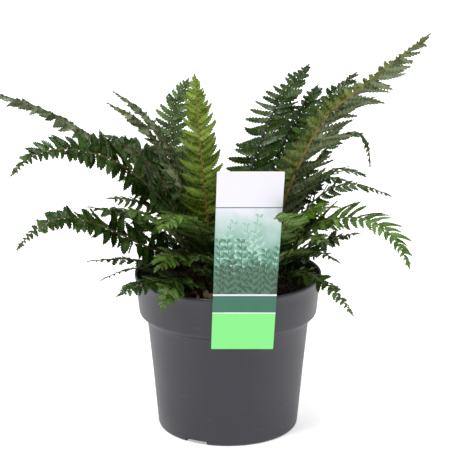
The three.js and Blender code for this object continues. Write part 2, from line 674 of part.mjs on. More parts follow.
// Whether a leaflet comes too near the pot, the label, or another frond's stalk or leaflets
function isCrowded(corners, owner, placed) {
  const mine = facets(corners);
  const points = mine.flatMap((facet) => spread(facet, 2));
  if (points.some(nearPot)) return true;
  const box = new THREE.Box3().setFromPoints(corners).expandByScalar(CLEARANCE);
  const nearest = new THREE.Vector3();
  const gapTo = (facet, point) => facet.closestPointToPoint(point, nearest).distanceTo(point);
  return placed.some((other) => {
    if (other.owner === owner || !other.box.intersectsBox(box)) return false;
    const close = points.filter((point) => other.box.distanceToPoint(point) < CLEARANCE);
    const meets = close.some((point) => other.facets.some((facet) => gapTo(facet, point) < CLEARANCE));
    const room = CLEARANCE + STALK_WIDTH / 2;
    return meets || other.stalk.some((point) => mine.some((facet) => gapTo(facet, point) < room));
  });
}

// Whether a leaflet's outer part would touch one of the two before it on the same side of the rachis
function touchesNeighbour(leaf, before) {
  const nearest = new THREE.Vector3();
  const rimOf = ([outer, tip, ear]) => [0, 0.25, 0.5, 0.75].flatMap((t) => (
    [outer.clone().lerp(tip, t), tip.clone().lerp(ear, t)]));
  const gapTo = (facet, point) => facet.closestPointToPoint(point, nearest).distanceTo(point);
  const meets = (rim, sheet) => (
    rim.some((point) => sheet.some((facet) => gapTo(facet, point) < LEAF_THICKNESS + 0.1)));
  const crosses = before.slice(-2).some((other) => (
    meets(rimOf(leaf.free), facets(other.corners)) || meets(rimOf(other.free), facets(leaf.corners))));
  return crosses || openingTo(leaf, before.at(-1)) < MIN_OPENING;
}

// How far a leaflet's outer edge turns away from the last leaflet's ear, at the foot that they share
function openingTo(leaf, last) {
  if (!last) return Infinity;
  const away = (corner) => corner.clone().sub(leaf.corners[0]).normalize();
  const [, , ear] = last.free;
  return away(ear).cross(away(leaf.free[0])).dot(leaf.normal) * leaf.hand;
}

// Each leaflet reaches to the blade's edge, or less far where something is in its way
function growLeaflets({ frond, axesAt, rows, step }, placed) {
  const leaflets = [];
  for (const hand of [1, -1]) {
    const before = [];
    for (let i = 0; i < frond.pairs; i += 1) {
      const share = frond.bare + step * (i + 0.5 + (hand > 0 ? STAGGER : 0));
      const ends = [rows[STALK_ROWS + i], rows[STALK_ROWS + i + 1]];
      const walls = ends.map((row) => (hand > 0 ? row.right : row.left));
      const feet = walls.map(([top, low]) => top.clone().lerp(low, 0.5));
      const half = bladeWidth(frond, (share - frond.bare) / (1 - frond.bare), hand);
      let reach = Math.max(half / Math.sin(rowSweep(frond, hand)), LEAFLET_MIN);
      let pinch = 0;
      let leaf;
      for (let tries = 0; tries < SHRINK_TRIES; tries += 1) {
        leaf = { i, hand, ...leafletCorners(frond, axesAt(share), feet, hand, reach, pinch) };
        leaf.corners = [feet[0], ...leaf.free, feet[1]];
        const touches = touchesNeighbour(leaf, before);
        if (!touches && !isCrowded(leaf.corners, frond.name, placed)) break;
        reach *= SHRINK;
        if (touches) pinch += PINCH;
      }
      leaflets.push(leaf);
      const box = new THREE.Box3().setFromPoints(leaf.corners);
      placed.push({ owner: frond.name, facets: facets(leaf.corners), stalk: [], box });
      before.push(leaf);
    }
  }
  return leaflets;
}

// One frond as a closed body: the stalk's walls, with a thin leaflet in place of each side wall
function makeFrond({ frond, rows, axesAt }, leaflets) {
  const points = [];
  const triangles = [];
  const vertex = (point) => points.push(point) - 1;
  const quad = (a, b, c, d) => triangles.push(a, b, c, a, c, d);
  const corners = rows.map((row) => ({ left: row.left.map(vertex), right: row.right.map(vertex) }));
  const blade = (start, free, normal, end) => {
    const shifted = (lift) => free.map((point) => vertex(point.clone().addScaledVector(normal, lift)));
    const top = [start[0], ...shifted(LEAF_THICKNESS / 2), end[0]];
    const low = [start[1], ...shifted(-LEAF_THICKNESS / 2), end[1]];
    for (const [i, j, k] of [[0, 1, 2], [0, 2, 4], [2, 3, 4]]) {
      triangles.push(top[i], top[j], top[k], low[k], low[j], low[i]);
    }
    for (let i = 0; i < 4; i += 1) quad(top[i], low[i], low[i + 1], top[i + 1]);
  };
  quad(corners[0].left[0], corners[0].left[1], corners[0].right[1], corners[0].right[0]);
  for (let i = 0; i + 1 < corners.length; i += 1) {
    const { left, right } = corners[i];
    const next = corners[i + 1];
    quad(left[0], right[0], next.right[0], next.left[0]);
    quad(left[1], next.left[1], next.right[1], right[1]);
    if (i < STALK_ROWS) {
      quad(right[0], right[1], next.right[1], next.right[0]);
      quad(left[0], next.left[0], next.left[1], left[1]);
    }
  }
  for (const { i, hand, free, normal } of leaflets) {
    const row = corners[STALK_ROWS + i];
    const next = corners[STALK_ROWS + i + 1];
    if (hand > 0) blade(row.right, free, normal, next.right);
    else blade(next.left, [...free].reverse(), normal, row.left);
  }
  const end = axesAt(1);
  const lobes = axesAt((1 + BLADE_END) / 2);
  const tip = [
    lobes.point.clone().addScaledVector(lobes.side, TIP_LOBE),
    end.point.clone().addScaledVector(end.along, TIP_REACH),
    lobes.point.clone().addScaledVector(lobes.side, -TIP_LOBE),
  ];
  const last = corners[corners.length - 1];
  blade(last.right, tip, end.up, last.left);
  return geometryOf(points, triangles);
}

// What the leaflets must keep clear of from the start: the label's card and every stalk
function obstacles(rachises) {
  const [a, b, c, d] = labelCorners(LABEL_BACK_Y - LABEL_THICKNESS / 2);
  const card = {
    owner: 'plant_label',
    facets: [new THREE.Triangle(a, b, c), new THREE.Triangle(a, c, d)],
    stalk: [],
    box: new THREE.Box3().setFromPoints([a, b, c, d]),
  };
  const stalks = rachises.map(({ frond, axesAt }) => {
    const steps = Math.ceil(axesAt(0).length / 2);
    const stalk = Array.from({ length: steps + 1 }, (_, i) => axesAt(i / steps).point);
    return { owner: frond.name, facets: [], stalk, box: new THREE.Box3().setFromPoints(stalk) };
  });
  return [card, ...stalks];
}

const rachises = FRONDS.map(growRachis);
const placed = obstacles(rachises);
addPart('pot', makePot(), COLOURS.pot, 0.5);
addPart('soil', makeSoil(tongue(GAP)), COLOURS.soil, 0.95);
addPart('crown', makeCrown(rachises), COLOURS.crown, 0.9);
addPart('plant_label', makeLabel(), COLOURS.label, 0.35);
for (const leaflet of DRY_LEAFLETS) addPart(leaflet.name, makeDryLeaflet(leaflet), COLOURS.dry, 0.8);
for (const rachis of rachises) {
  const { name, tone } = rachis.frond;
  addPart(name, makeFrond(rachis, growLeaflets(rachis, placed)), COLOURS[tone], 0.45);
}

export default plant;
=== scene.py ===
# %% [markdown]
# # A holly fern in a nursery pot
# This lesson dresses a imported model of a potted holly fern: the fronds with their cut and toothed
# leaflets, the scaly crown, crumbly compost, a printed plastic label and a moulded nursery pot.
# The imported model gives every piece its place, and each step replaces a plain solid with a finer one.

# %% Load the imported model
import math
import bpy
import numpy as np
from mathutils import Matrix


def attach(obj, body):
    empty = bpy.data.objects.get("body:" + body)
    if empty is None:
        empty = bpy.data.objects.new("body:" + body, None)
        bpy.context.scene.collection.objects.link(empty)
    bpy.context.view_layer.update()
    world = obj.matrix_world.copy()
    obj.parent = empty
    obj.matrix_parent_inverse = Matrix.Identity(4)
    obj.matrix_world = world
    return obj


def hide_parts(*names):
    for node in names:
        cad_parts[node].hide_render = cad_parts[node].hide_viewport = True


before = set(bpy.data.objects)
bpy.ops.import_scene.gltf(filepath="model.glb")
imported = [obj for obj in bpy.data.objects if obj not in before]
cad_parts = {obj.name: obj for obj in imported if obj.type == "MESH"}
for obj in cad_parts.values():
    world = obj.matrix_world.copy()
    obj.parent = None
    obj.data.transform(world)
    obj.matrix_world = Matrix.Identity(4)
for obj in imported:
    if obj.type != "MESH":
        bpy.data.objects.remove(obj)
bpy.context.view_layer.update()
MM = 0.001

# %% [markdown]
# ## Camera
# The photo was taken with a long lens from a little above the plant. The focal length, distance and
# pitch were worked out from the ellipses of the pot's rim and foot, so a point at the pot's foot and
# one at the rim both land where the photo has them.

# %% Camera at the photo's angle
CAMERA_AT = (-3.05, -1649.7, 675.8)
CAMERA_PITCH = 15.75
LENS = 136
SENSOR = 36

scene = bpy.context.scene
camera_data = bpy.data.cameras.new("camera")
camera_data.lens = LENS
camera_data.sensor_width = SENSOR
camera_data.clip_end = 60
camera = bpy.data.objects.new("camera", camera_data)
camera.location = [value * MM for value in CAMERA_AT]
camera.rotation_euler = (math.radians(90 - CAMERA_PITCH), 0, 0)
scene.collection.objects.link(camera)
scene.camera = camera
print("field of view:", round(math.degrees(camera_data.angle), 2), "degrees")

# %% [markdown]
# ## Nodes and colours
# Every material here is a small graph of nodes. One helper adds a node, sets its properties and fills
# or links its inputs. Colours are written as the hex values that a paint chart would give, and one
# function turns them into the linear numbers that a renderer works with.


# %% Helpers for materials
def linear(hex_colour):
    """An sRGB hex colour as linear red, green, blue and alpha"""
    channels = [int(hex_colour[i:i + 2], 16) / 255 for i in (1, 3, 5)]
    curved = [c / 12.92 if c <= 0.04045 else ((c + 0.055) / 1.055) ** 2.4 for c in channels]
    return (*curved, 1.0)


def add_node(tree, kind, inputs=None, **settings):
    """Adds a node, sets its properties, and fills its inputs with values or with other nodes' outputs"""
    node = tree.nodes.new(kind)
    for name, value in settings.items():
        setattr(node, name, value)
    for name, value in (inputs or {}).items():
        if isinstance(value, bpy.types.NodeSocket):
            tree.links.new(value, node.inputs[name])
        else:
            node.inputs[name].default_value = value
    return node


def start_material(name, **values):
    """A new material with its node tree and its main shader, whose plain inputs are set by name"""
    material = bpy.data.materials.new(name)
    material.use_nodes = True
    shader = material.node_tree.nodes["Principled BSDF"]
    for socket, value in values.items():
        shader.inputs[socket.replace("_", " ")].default_value = value
    return material, material.node_tree, shader


# %% [markdown]
# ## Meshes from arrays
# Leaves, crumbs and scales are counted in thousands, so they are worked out as arrays of points and
# triangles, and many of them go into one mesh. A part is a dictionary with its points in millimetres,
# its triangles, the number of its material, a flat coordinate for patterns and a tint for each point.


# %% Helpers for meshes
def part_of(points, triangles, material=0, flat=None, tint=None):
    """One piece of a mesh as arrays, with nothing left out"""
    points = np.asarray(points, float)
    return {
        "points": points,
        "triangles": np.asarray(triangles, int),
        "material": material,
        "flat": np.zeros((len(points), 2)) if flat is None else np.asarray(flat, float),
        "tint": np.zeros((len(points), 3)) if tint is None else np.asarray(tint, float),
    }


# %% One object from many parts
def mesh_from_parts(name, parts, materials):
    """One object from many parts, with smooth shading, a map for patterns and a tint"""
    starts = np.cumsum([0] + [len(part["points"]) for part in parts])
    points = np.vstack([part["points"] for part in parts]) * MM
    triangles = np.vstack([part["triangles"] + start for part, start in zip(parts, starts)])
    slots = np.concatenate([np.full(len(part["triangles"]), part["material"]) for part in parts])
    mesh = bpy.data.meshes.new(name)
    mesh.vertices.add(len(points))
    mesh.vertices.foreach_set("co", points.ravel())
    mesh.loops.add(triangles.size)
    mesh.loops.foreach_set("vertex_index", triangles.ravel())
    mesh.polygons.add(len(triangles))
    mesh.polygons.foreach_set("loop_start", np.arange(0, triangles.size, 3))
    mesh.polygons.foreach_set("material_index", slots)
    mesh.polygons.foreach_set("use_smooth", np.ones(len(triangles), bool))
    flat = np.vstack([part["flat"] for part in parts])[triangles.ravel()]
    mesh.uv_layers.new(name="flat").data.foreach_set("uv", flat.ravel())
    tint = np.vstack([part["tint"] for part in parts])
    tint = np.hstack([tint, np.ones((len(tint), 1))])
    mesh.color_attributes.new("tint", "FLOAT_COLOR", "POINT").data.foreach_set("color", tint.ravel())
    for material in materials:
        mesh.materials.append(material)
    mesh.update(calc_edges=True)
    mesh.validate()
    made = bpy.data.objects.new(name, mesh)
    scene.collection.objects.link(made)
    return made


# %% The faces of a rod
def tube_faces(rings, sides):
    """The triangles between rings of points that follow each other, as on a rod"""
    faces = []
    for row in range(rings - 1):
        for n in range(sides):
            a, b = row * sides + n, row * sides + (n + 1) % sides
            faces += [(a, b, b + sides), (a, b + sides, a + sides)]
    return faces


# %% Hand a finished piece over
def hand_over(piece, slot, *nodes):
    """Puts a finished piece on the one body and hides the solids that it stands for; its slot is not used"""
    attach(piece, "root")
    if nodes:
        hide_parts(*nodes)
    print(piece.name, "triangles:", sum(len(face.vertices) - 2 for face in piece.data.polygons))


# %% [markdown]
# ## Floor and light
# The photo's ground is white right up to the pot's foot, and its soft light falls the same on every
# leaf. A studio gets such a ground from a table of white acrylic that is lit from below, so the floor
# glows a little here and takes only a faint shadow. The lamps are far away: three suns, each as wide
# in the sky as a big soft box. The key comes from high at the front left, a weaker one from the
# right, and one from behind lights the edges. A pale sky fills the shadows, and it is what the satin
# pot mirrors along its two sides.

# %% Floor, sky and suns
FLOOR_HALF = 9
FLOOR_DROP = 0.0002
FLOOR_GLOW = 0.42
SKY_STRENGTH = 0.32
# For each sun: its azimuth, height and spread in the sky in degrees, and its strength
SUNS = {"key": (228, 58, 20, 2.1), "fill": (318, 50, 45, 0.8), "back": (80, 64, 16, 0.9)}

floor_mesh = bpy.data.meshes.new("floor")
floor_mesh.from_pydata(
    [(x * FLOOR_HALF, y * FLOOR_HALF, -FLOOR_DROP) for x, y in ((-1, -1), (1, -1), (1, 1), (-1, 1))],
    [], [(0, 1, 2, 3)])
floor = bpy.data.objects.new("floor", floor_mesh)
scene.collection.objects.link(floor)
floor_mesh.materials.append(start_material(
    "white acrylic table lit from below", Base_Color=linear("#f8f8f8"), Roughness=0.95,
    Specular_IOR_Level=0.0, Emission_Color=linear("#ffffff"), Emission_Strength=FLOOR_GLOW)[0])

world = bpy.data.worlds.new("studio")
world.use_nodes = True
sky = world.node_tree.nodes["Background"]
sky.inputs["Color"].default_value = linear("#ffffff")
sky.inputs["Strength"].default_value = SKY_STRENGTH
scene.world = world
scene.view_settings.view_transform = "Standard"


def add_sun(name, azimuth, height, spread, strength):
    """A sun that shines from an azimuth and a height, as wide in the sky as its spread, in degrees"""
    lamp = bpy.data.lights.new(name, "SUN")
    lamp.energy = strength
    lamp.angle = math.radians(spread)
    holder = bpy.data.objects.new(name, lamp)
    holder.rotation_euler = (math.radians(90 - height), 0, math.radians(azimuth + 90))
    scene.collection.objects.link(holder)
    print("sun", name, "from azimuth", azimuth, "height", height, "strength", strength)


for sun_name, sun in SUNS.items():
    add_sun(sun_name, *sun)

# %% [markdown]
# ## The pot
# A nursery container is one thin moulding of polypropylene: a tapered wall, a wide collar below the
# rim so that pots stack, and a foot ring with notches that lets water out. Turning a profile gives
# the round form, as the real mould does, and cutting boxes out of the foot gives the notches.

# %% Pot sizes, in millimetres
POT_HEIGHT = 162
RIM_RADIUS = 95
COLLAR_FOOT_RADIUS = 90.6
COLLAR_FOOT_Z = 123
SHOULDER_RADIUS = 82.5
SHOULDER_Z = 114.5
FOOT_RADIUS = 71.8
WALL = 1.8
FLOOR_LIFT = 3.8
FLOOR_TOP = FLOOR_LIFT + WALL
PAD_RADIUS = 28
FOOT_RING_WIDTH = 5
NOTCH_AZIMUTHS = (243, 3, 123)
NOTCH_WIDTH = 24
DRAIN_COUNT = 6
DRAIN_RADIUS = 5.5
DRAIN_RING_RADIUS = 50
POT_SIDES = 160
# Faces that meet at a sharper angle than this, in degrees, keep a crisp edge
CRISP_ANGLE = 40


# %% A turned body
def turned_part(profile, sides, material=0):
    """The points and triangles of a profile of (radius, height) turned about the upright axis"""
    profile = np.array(profile, float)
    turns = np.linspace(0, 2 * math.pi, sides, endpoint=False)
    rings = [np.stack([r * np.cos(turns), r * np.sin(turns), np.full(sides, z)], 1) for r, z in profile]
    ahead = (np.arange(sides) + 1) % sides
    triangles = []
    for i in range(len(profile) - 1):
        low, high = i * sides, (i + 1) * sides
        here = np.arange(sides)
        triangles.append(np.stack([low + here, low + ahead, high + ahead], 1))
        triangles.append(np.stack([low + here, high + ahead, high + here], 1))
    return part_of(np.vstack(rings), np.vstack(triangles), material)


def carve(body, tool):
    """Cuts one object out of another and throws the cutter away"""
    change = body.modifiers.new("carve", "BOOLEAN")
    change.object = tool
    change.operation = "DIFFERENCE"
    change.solver = "EXACT"
    graph = bpy.context.evaluated_depsgraph_get()
    cut = bpy.data.meshes.new_from_object(body.evaluated_get(graph))
    body.modifiers.clear()
    body.data = cut
    bpy.data.objects.remove(tool)


# %% [markdown]
# Polypropylene with a little carbon black and blue is a dark bluish grey with a satin surface. Its
# gloss is broken by handling: faint scuffs run round it and dust sits on it, so the roughness and
# the colour both vary a little.


# %% Pot material
def moulded_polypropylene():
    """Satin moulded polypropylene, dark bluish grey, with scuffs that run round the pot"""
    material, tree, shader = start_material("moulded polypropylene", IOR=1.49)
    place = add_node(tree, "ShaderNodeNewGeometry").outputs["Position"]
    # Scuffs are about 25 mm long and 1 mm high, so the pattern is squeezed along the pot's axis
    squeezed = add_node(tree, "ShaderNodeMapping", {"Vector": place, "Scale": (40, 40, 700)})
    scuffs = add_node(tree, "ShaderNodeTexNoise", {
        "Vector": squeezed.outputs[0], "Scale": 1.0, "Detail": 4.0})
    scuff_line = add_node(tree, "ShaderNodeMapRange", {
        "Value": scuffs.outputs["Fac"], "From Min": 0.66, "From Max": 0.82, "To Max": 0.35})
    dust = add_node(tree, "ShaderNodeTexNoise", {"Vector": place, "Scale": 22.0, "Detail": 5.0})
    plain = add_node(tree, "ShaderNodeMix", {
        0: dust.outputs["Fac"], 6: linear("#202029"), 7: linear("#282832")}, data_type="RGBA")
    worn = add_node(tree, "ShaderNodeMix", {
        0: scuff_line.outputs[0], 6: plain.outputs[2], 7: linear("#6d6c73")}, data_type="RGBA")
    tree.links.new(worn.outputs[2], shader.inputs["Base Color"])
    gloss = add_node(tree, "ShaderNodeMapRange", {
        "Value": dust.outputs["Fac"], "To Min": 0.36, "To Max": 0.5})
    tree.links.new(gloss.outputs[0], shader.inputs["Roughness"])
    # The mould leaves a fine grain of about 0.4 mm
    grain = add_node(tree, "ShaderNodeTexNoise", {"Vector": place, "Scale": 2500.0, "Detail": 2.0})
    relief = add_node(tree, "ShaderNodeBump", {
        "Height": grain.outputs["Fac"], "Strength": 0.12, "Distance": 0.0002})
    tree.links.new(relief.outputs[0], shader.inputs["Normal"])
    return material


# %% The pot's section
def inner_radius(z):
    """The radius of the pot's inner wall at a height above its floor"""
    down = (SHOULDER_Z - z) / SHOULDER_Z
    if down >= 0:
        return SHOULDER_RADIUS + (FOOT_RADIUS - SHOULDER_RADIUS) * down - WALL
    collar = max((z - COLLAR_FOOT_Z) / (POT_HEIGHT - COLLAR_FOOT_Z), 0)
    return COLLAR_FOOT_RADIUS + (RIM_RADIUS - 0.6 - COLLAR_FOOT_RADIUS) * collar - WALL


def pot_profile():
    """The pot's section as (radius, height): under the floor, up the outside and down the inside"""
    ring_inner = FOOT_RADIUS - 2 - FOOT_RING_WIDTH
    underside = [
        (0.01, 0), (PAD_RADIUS - 1, 0), (PAD_RADIUS, 0.2), (PAD_RADIUS + 3, FLOOR_LIFT),
        (ring_inner - 1, FLOOR_LIFT), (ring_inner, 0.4), (ring_inner + 0.5, 0),
        (FOOT_RADIUS - 2.6, 0), (FOOT_RADIUS - 1.2, 0.5), (FOOT_RADIUS - 0.3, 1.5), (FOOT_RADIUS + 0.1, 3),
    ]
    wall = [
        (FOOT_RADIUS + 2.2, 26), (FOOT_RADIUS + 5.2, 60), (FOOT_RADIUS + 8.2, 90),
        (SHOULDER_RADIUS - 0.1, SHOULDER_Z - 1.5), (SHOULDER_RADIUS + 0.5, SHOULDER_Z),
        (SHOULDER_RADIUS + 2, SHOULDER_Z + 1.6),
    ]
    collar = [
        (COLLAR_FOOT_RADIUS - 2.6, COLLAR_FOOT_Z - 3.4), (COLLAR_FOOT_RADIUS - 0.9, COLLAR_FOOT_Z - 2.2),
        (COLLAR_FOOT_RADIUS - 0.1, COLLAR_FOOT_Z - 0.6), (COLLAR_FOOT_RADIUS + 0.1, COLLAR_FOOT_Z + 1.2),
        (COLLAR_FOOT_RADIUS + 1.4, COLLAR_FOOT_Z + 14),
    ]
    rim = [
        (RIM_RADIUS - 1.6, POT_HEIGHT - 12), (RIM_RADIUS - 0.9, POT_HEIGHT - 5),
        (RIM_RADIUS - 0.2, POT_HEIGHT - 3.8), (RIM_RADIUS, POT_HEIGHT - 2.4),
        (RIM_RADIUS - 0.2, POT_HEIGHT - 0.7), (RIM_RADIUS - 0.9, POT_HEIGHT),
        (RIM_RADIUS - 1.8, POT_HEIGHT - 0.1), (RIM_RADIUS - 2.6, POT_HEIGHT - 1),
        (RIM_RADIUS - 2.9, POT_HEIGHT - 3),
    ]
    inside = [(inner_radius(z), z) for z in (COLLAR_FOOT_Z, SHOULDER_Z, FLOOR_TOP)]
    inside += [(PAD_RADIUS + 2, FLOOR_TOP), (PAD_RADIUS - 1, WALL), (0.01, WALL)]
    return underside + wall + collar + rim + inside


print("points in the pot's section:", len(pot_profile()))


# %% [markdown]
# On the real pot the mould leaves its openings. Here boxes and round plugs are cut out of the turned
# shell one after another, because an exact cut keeps their edges crisp.


# %% Cutters for the notches and the drain holes
def notch_cutter(azimuth):
    """A box that lies across the foot ring"""
    box = np.array([(x, y, z) for x in (-1, 1) for y in (-1, 1) for z in (-1, 1)], float)
    faces = [(0, 1, 3), (0, 3, 2), (4, 6, 7), (4, 7, 5), (0, 4, 5), (0, 5, 1),
             (2, 3, 7), (2, 7, 6), (0, 2, 6), (0, 6, 4), (1, 5, 7), (1, 7, 3)]
    corners = box * (FOOT_RING_WIDTH * 1.5, NOTCH_WIDTH / 2, FLOOR_LIFT) + (FOOT_RADIUS, 0, 0)
    turn = math.radians(azimuth)
    x = corners[:, 0] * math.cos(turn) - corners[:, 1] * math.sin(turn)
    y = corners[:, 0] * math.sin(turn) + corners[:, 1] * math.cos(turn)
    return part_of(np.stack([x, y, corners[:, 2]], 1), faces)


def drain_cutter(azimuth):
    """A round plug that stands through the floor"""
    plug = turned_part([(0.01, 0), (DRAIN_RADIUS, 0), (DRAIN_RADIUS, 12), (0.01, 12)], 24)
    turn = math.radians(azimuth)
    plug["points"] += (DRAIN_RING_RADIUS * math.cos(turn), DRAIN_RING_RADIUS * math.sin(turn), -1)
    return plug


# %% Make the pot
def make_pot():
    """The pot as one turned shell with rounded edges, notches in its foot and drain holes"""
    shell = turned_part(pot_profile(), POT_SIDES)
    # The middle of the floor is closed by joining its first and last tiny rings
    centre = np.arange(1, POT_SIDES - 1)
    under = np.stack([np.zeros(len(centre), int), centre + 1, centre], 1)
    over = np.stack([np.zeros(len(centre), int), centre, centre + 1], 1) + len(shell["points"]) - POT_SIDES
    shell["triangles"] = np.vstack([shell["triangles"], under, over])
    pot = mesh_from_parts("nursery_pot", [shell], [moulded_polypropylene()])
    cutters = [notch_cutter(azimuth) for azimuth in NOTCH_AZIMUTHS]
    cutters += [drain_cutter(360 * i / DRAIN_COUNT) for i in range(DRAIN_COUNT)]
    for cutter in cutters:
        carve(pot, mesh_from_parts("cutter", [cutter], []))
    pot.data.set_sharp_from_angle(angle=math.radians(CRISP_ANGLE))
    return pot


hand_over(make_pot(), "pot", "pot")

# %% [markdown]
# ## Compost
# Peat compost is nearly black and made of crumbs and fibres from dust size to a few millimetres. A
# displaced surface alone looks like clay, so the top is roughened and then strewn with thousands of
# small angular crumbs and short fibres, all from one seeded draw.

# %% Soil sizes and seed
SOIL_Z = 146
BOWL_DEPTH = 5
CROWN_RADIUS = 43
CROWN_HEIGHT = 13
GAP = 0.3
CRUMBS = 2600
FIBRES = 500
SOIL_SIDES = 120


# %% Soil material
def mottled(name, deep, light, scale, detail, strength, height, **values):
    """A rough natural stuff: one noise mixes its two colours and raises its surface by a height in mm"""
    material, tree, shader = start_material(name, **values)
    place = add_node(tree, "ShaderNodeNewGeometry").outputs["Position"]
    noise = add_node(tree, "ShaderNodeTexNoise", {"Vector": place, "Scale": scale, "Detail": detail})
    colour = add_node(tree, "ShaderNodeMix", {
        0: noise.outputs["Fac"], 6: linear(deep), 7: linear(light)}, data_type="RGBA")
    tree.links.new(colour.outputs[2], shader.inputs["Base Color"])
    relief = add_node(tree, "ShaderNodeBump", {
        "Height": noise.outputs["Fac"], "Strength": strength, "Distance": height * MM})
    tree.links.new(relief.outputs[0], shader.inputs["Normal"])
    return material


def peat_compost():
    """Moist peat compost: rough, nearly black, with lighter brown crumbs some 3 mm across"""
    return mottled("moist peat compost", "#0d0a08", "#33271d", 350.0, 6.0, 0.7, 1.2,
                   Roughness=0.95, IOR=1.4, Specular_IOR_Level=0.25)


# %% The soil's body
def soil_height(x, y):
    """The height of the soil's top, smooth at the pot's wall and round the crown"""
    radius = np.hypot(x, y)
    open_ground = np.clip((radius - CROWN_RADIUS - 1) / 6, 0, 1)
    open_ground = open_ground * np.clip((inner_radius(SOIL_Z) - radius) / 6, 0, 1)
    # Low lumps a few centimetres apart carry a finer roughness of half a millimetre
    lumps = 1.2 * np.sin(x / 9 + 1) * np.cos(y / 11) + 0.7 * np.sin((x + y) / 6)
    fine = 0.5 * np.sin(x / 2.1 + y / 3) * np.cos(y / 1.7 - x / 4) + 0.3 * np.sin(x * 1.3) * np.sin(y * 1.1)
    return SOIL_Z + open_ground * (lumps + fine)


def make_soil():
    """The body of the soil, which fills the pot, with a rough top and a bowl for the crown"""
    floor_top = FLOOR_TOP + GAP
    rim = inner_radius(SOIL_Z) - GAP
    open_rings = [(r, SOIL_Z) for r in np.linspace(rim, CROWN_RADIUS + 1, 36)]
    profile = [
        (0.01, WALL + GAP), (PAD_RADIUS - 1.2, WALL + GAP), (PAD_RADIUS + 1.8, floor_top),
        (inner_radius(floor_top) - GAP, floor_top), (inner_radius(SHOULDER_Z) - GAP, SHOULDER_Z),
        (inner_radius(COLLAR_FOOT_Z) - GAP, COLLAR_FOOT_Z + GAP), *open_rings,
        (CROWN_RADIUS - 2, SOIL_Z - BOWL_DEPTH), (0.01, SOIL_Z - BOWL_DEPTH),
    ]
    body = turned_part(profile, SOIL_SIDES)
    top = body["points"][:, 2] > SOIL_Z - 1
    x, y = body["points"][top, 0], body["points"][top, 1]
    body["points"][top, 2] = soil_height(x, y)
    return mesh_from_parts("compost", [body], [peat_compost()])


# %% [markdown]
# Crumbs are twenty-sided lumps pushed out of shape and partly sunk, and fibres are thin splinters
# that lie on top. Their places are drawn so that they lie equally thick all over the soil.


# %% Crumbs and fibres
def lumps_on_soil(count, rng):
    """Crumbs: twenty-sided lumps pushed out of shape, each part sunk in the soil"""
    golden = (1 + 5 ** 0.5) / 2
    ball = np.array([(-1, golden, 0), (1, golden, 0), (-1, -golden, 0), (1, -golden, 0),
                     (0, -1, golden), (0, 1, golden), (0, -1, -golden), (0, 1, -golden),
                     (golden, 0, -1), (golden, 0, 1), (-golden, 0, -1), (-golden, 0, 1)])
    faces = np.array([(0, 11, 5), (0, 5, 1), (0, 1, 7), (0, 7, 10), (0, 10, 11),
                      (1, 5, 9), (5, 11, 4), (11, 10, 2), (10, 7, 6), (7, 1, 8),
                      (3, 9, 4), (3, 4, 2), (3, 2, 6), (3, 6, 8), (3, 8, 9),
                      (4, 9, 5), (2, 4, 11), (6, 2, 10), (8, 6, 7), (9, 8, 1)])
    parts = []
    for _ in range(count):
        radius = math.sqrt(rng.uniform(CROWN_RADIUS ** 2, (inner_radius(SOIL_Z) - 2.5) ** 2))
        turn = rng.uniform(0, 2 * math.pi)
        x, y = radius * math.cos(turn), radius * math.sin(turn)
        size = 0.35 + 1.1 * rng.random() ** 3
        lump = ball * size * 0.55 * rng.uniform(0.7, 1.35, (12, 1)) * rng.uniform(0.7, 1.2, 3)
        parts.append(part_of(lump + (x, y, soil_height(x, y) + size * 0.35), faces))
    return parts


def fibres_on_soil(count, rng):
    """Fibres: thin three-sided splinters of peat that lie on the soil"""
    parts = []
    for _ in range(count):
        radius = math.sqrt(rng.uniform(CROWN_RADIUS ** 2, (inner_radius(SOIL_Z) - 8) ** 2))
        turn, heading = rng.uniform(0, 2 * math.pi, 2)
        length, thick = rng.uniform(3, 9), rng.uniform(0.15, 0.4)
        middle = np.array([radius * math.cos(turn), radius * math.sin(turn)])
        reach = np.array([math.cos(heading), math.sin(heading)]) * length / 2
        ends = [middle - reach, middle, middle + reach]
        points = []
        for x, y in ends:
            z = soil_height(x, y) + 0.6 + rng.uniform(0, 0.8)
            points += [(x, y, z + thick), (x - thick, y - thick, z), (x + thick, y + thick, z)]
        parts.append(part_of(points, [(0, 2, 1), (6, 7, 8), *tube_faces(3, 3)]))
    return parts


# %% Make the soil
hand_over(make_soil(), "soil", "soil")
soil_rng = np.random.default_rng(11)
crumb_parts = lumps_on_soil(CRUMBS, soil_rng) + fibres_on_soil(FIBRES, soil_rng)
hand_over(mesh_from_parts("compost_crumbs", crumb_parts, [bpy.data.materials["moist peat compost"]]), "soil")

# %% [markdown]
# ## Leaflets
# A frond of this fern carries two rows of stiff leaflets, and each leaflet is cut into small toothed
# lobes along its own midrib. One flat pattern is drawn for a number of lobes and a depth of cut, as
# points along the midrib (1 long) and across it (1 from midrib to edge). It is then bent, cupped and
# sized for every leaflet. A pattern has an upper and a lower sheet that meet at the edge, so a leaflet
# is a thin closed lens with its own underside.

# %% Leaflet outline
LAST_LOBE = 0.92
LEAFLET_FOOT = 0.78
EAR_AT = 0.12
EAR_WIDTH = 0.1
PATTERNS = {}


def leaflet_half(x, ear, belly):
    """The half width of a leaflet at a share of its length, with an ear near its foot"""
    body = min(1, LEAFLET_FOOT + 1.6 * x) * (1 - x ** belly) ** 0.75
    return body + ear * math.exp(-(((x - EAR_AT) / EAR_WIDTH) ** 2))


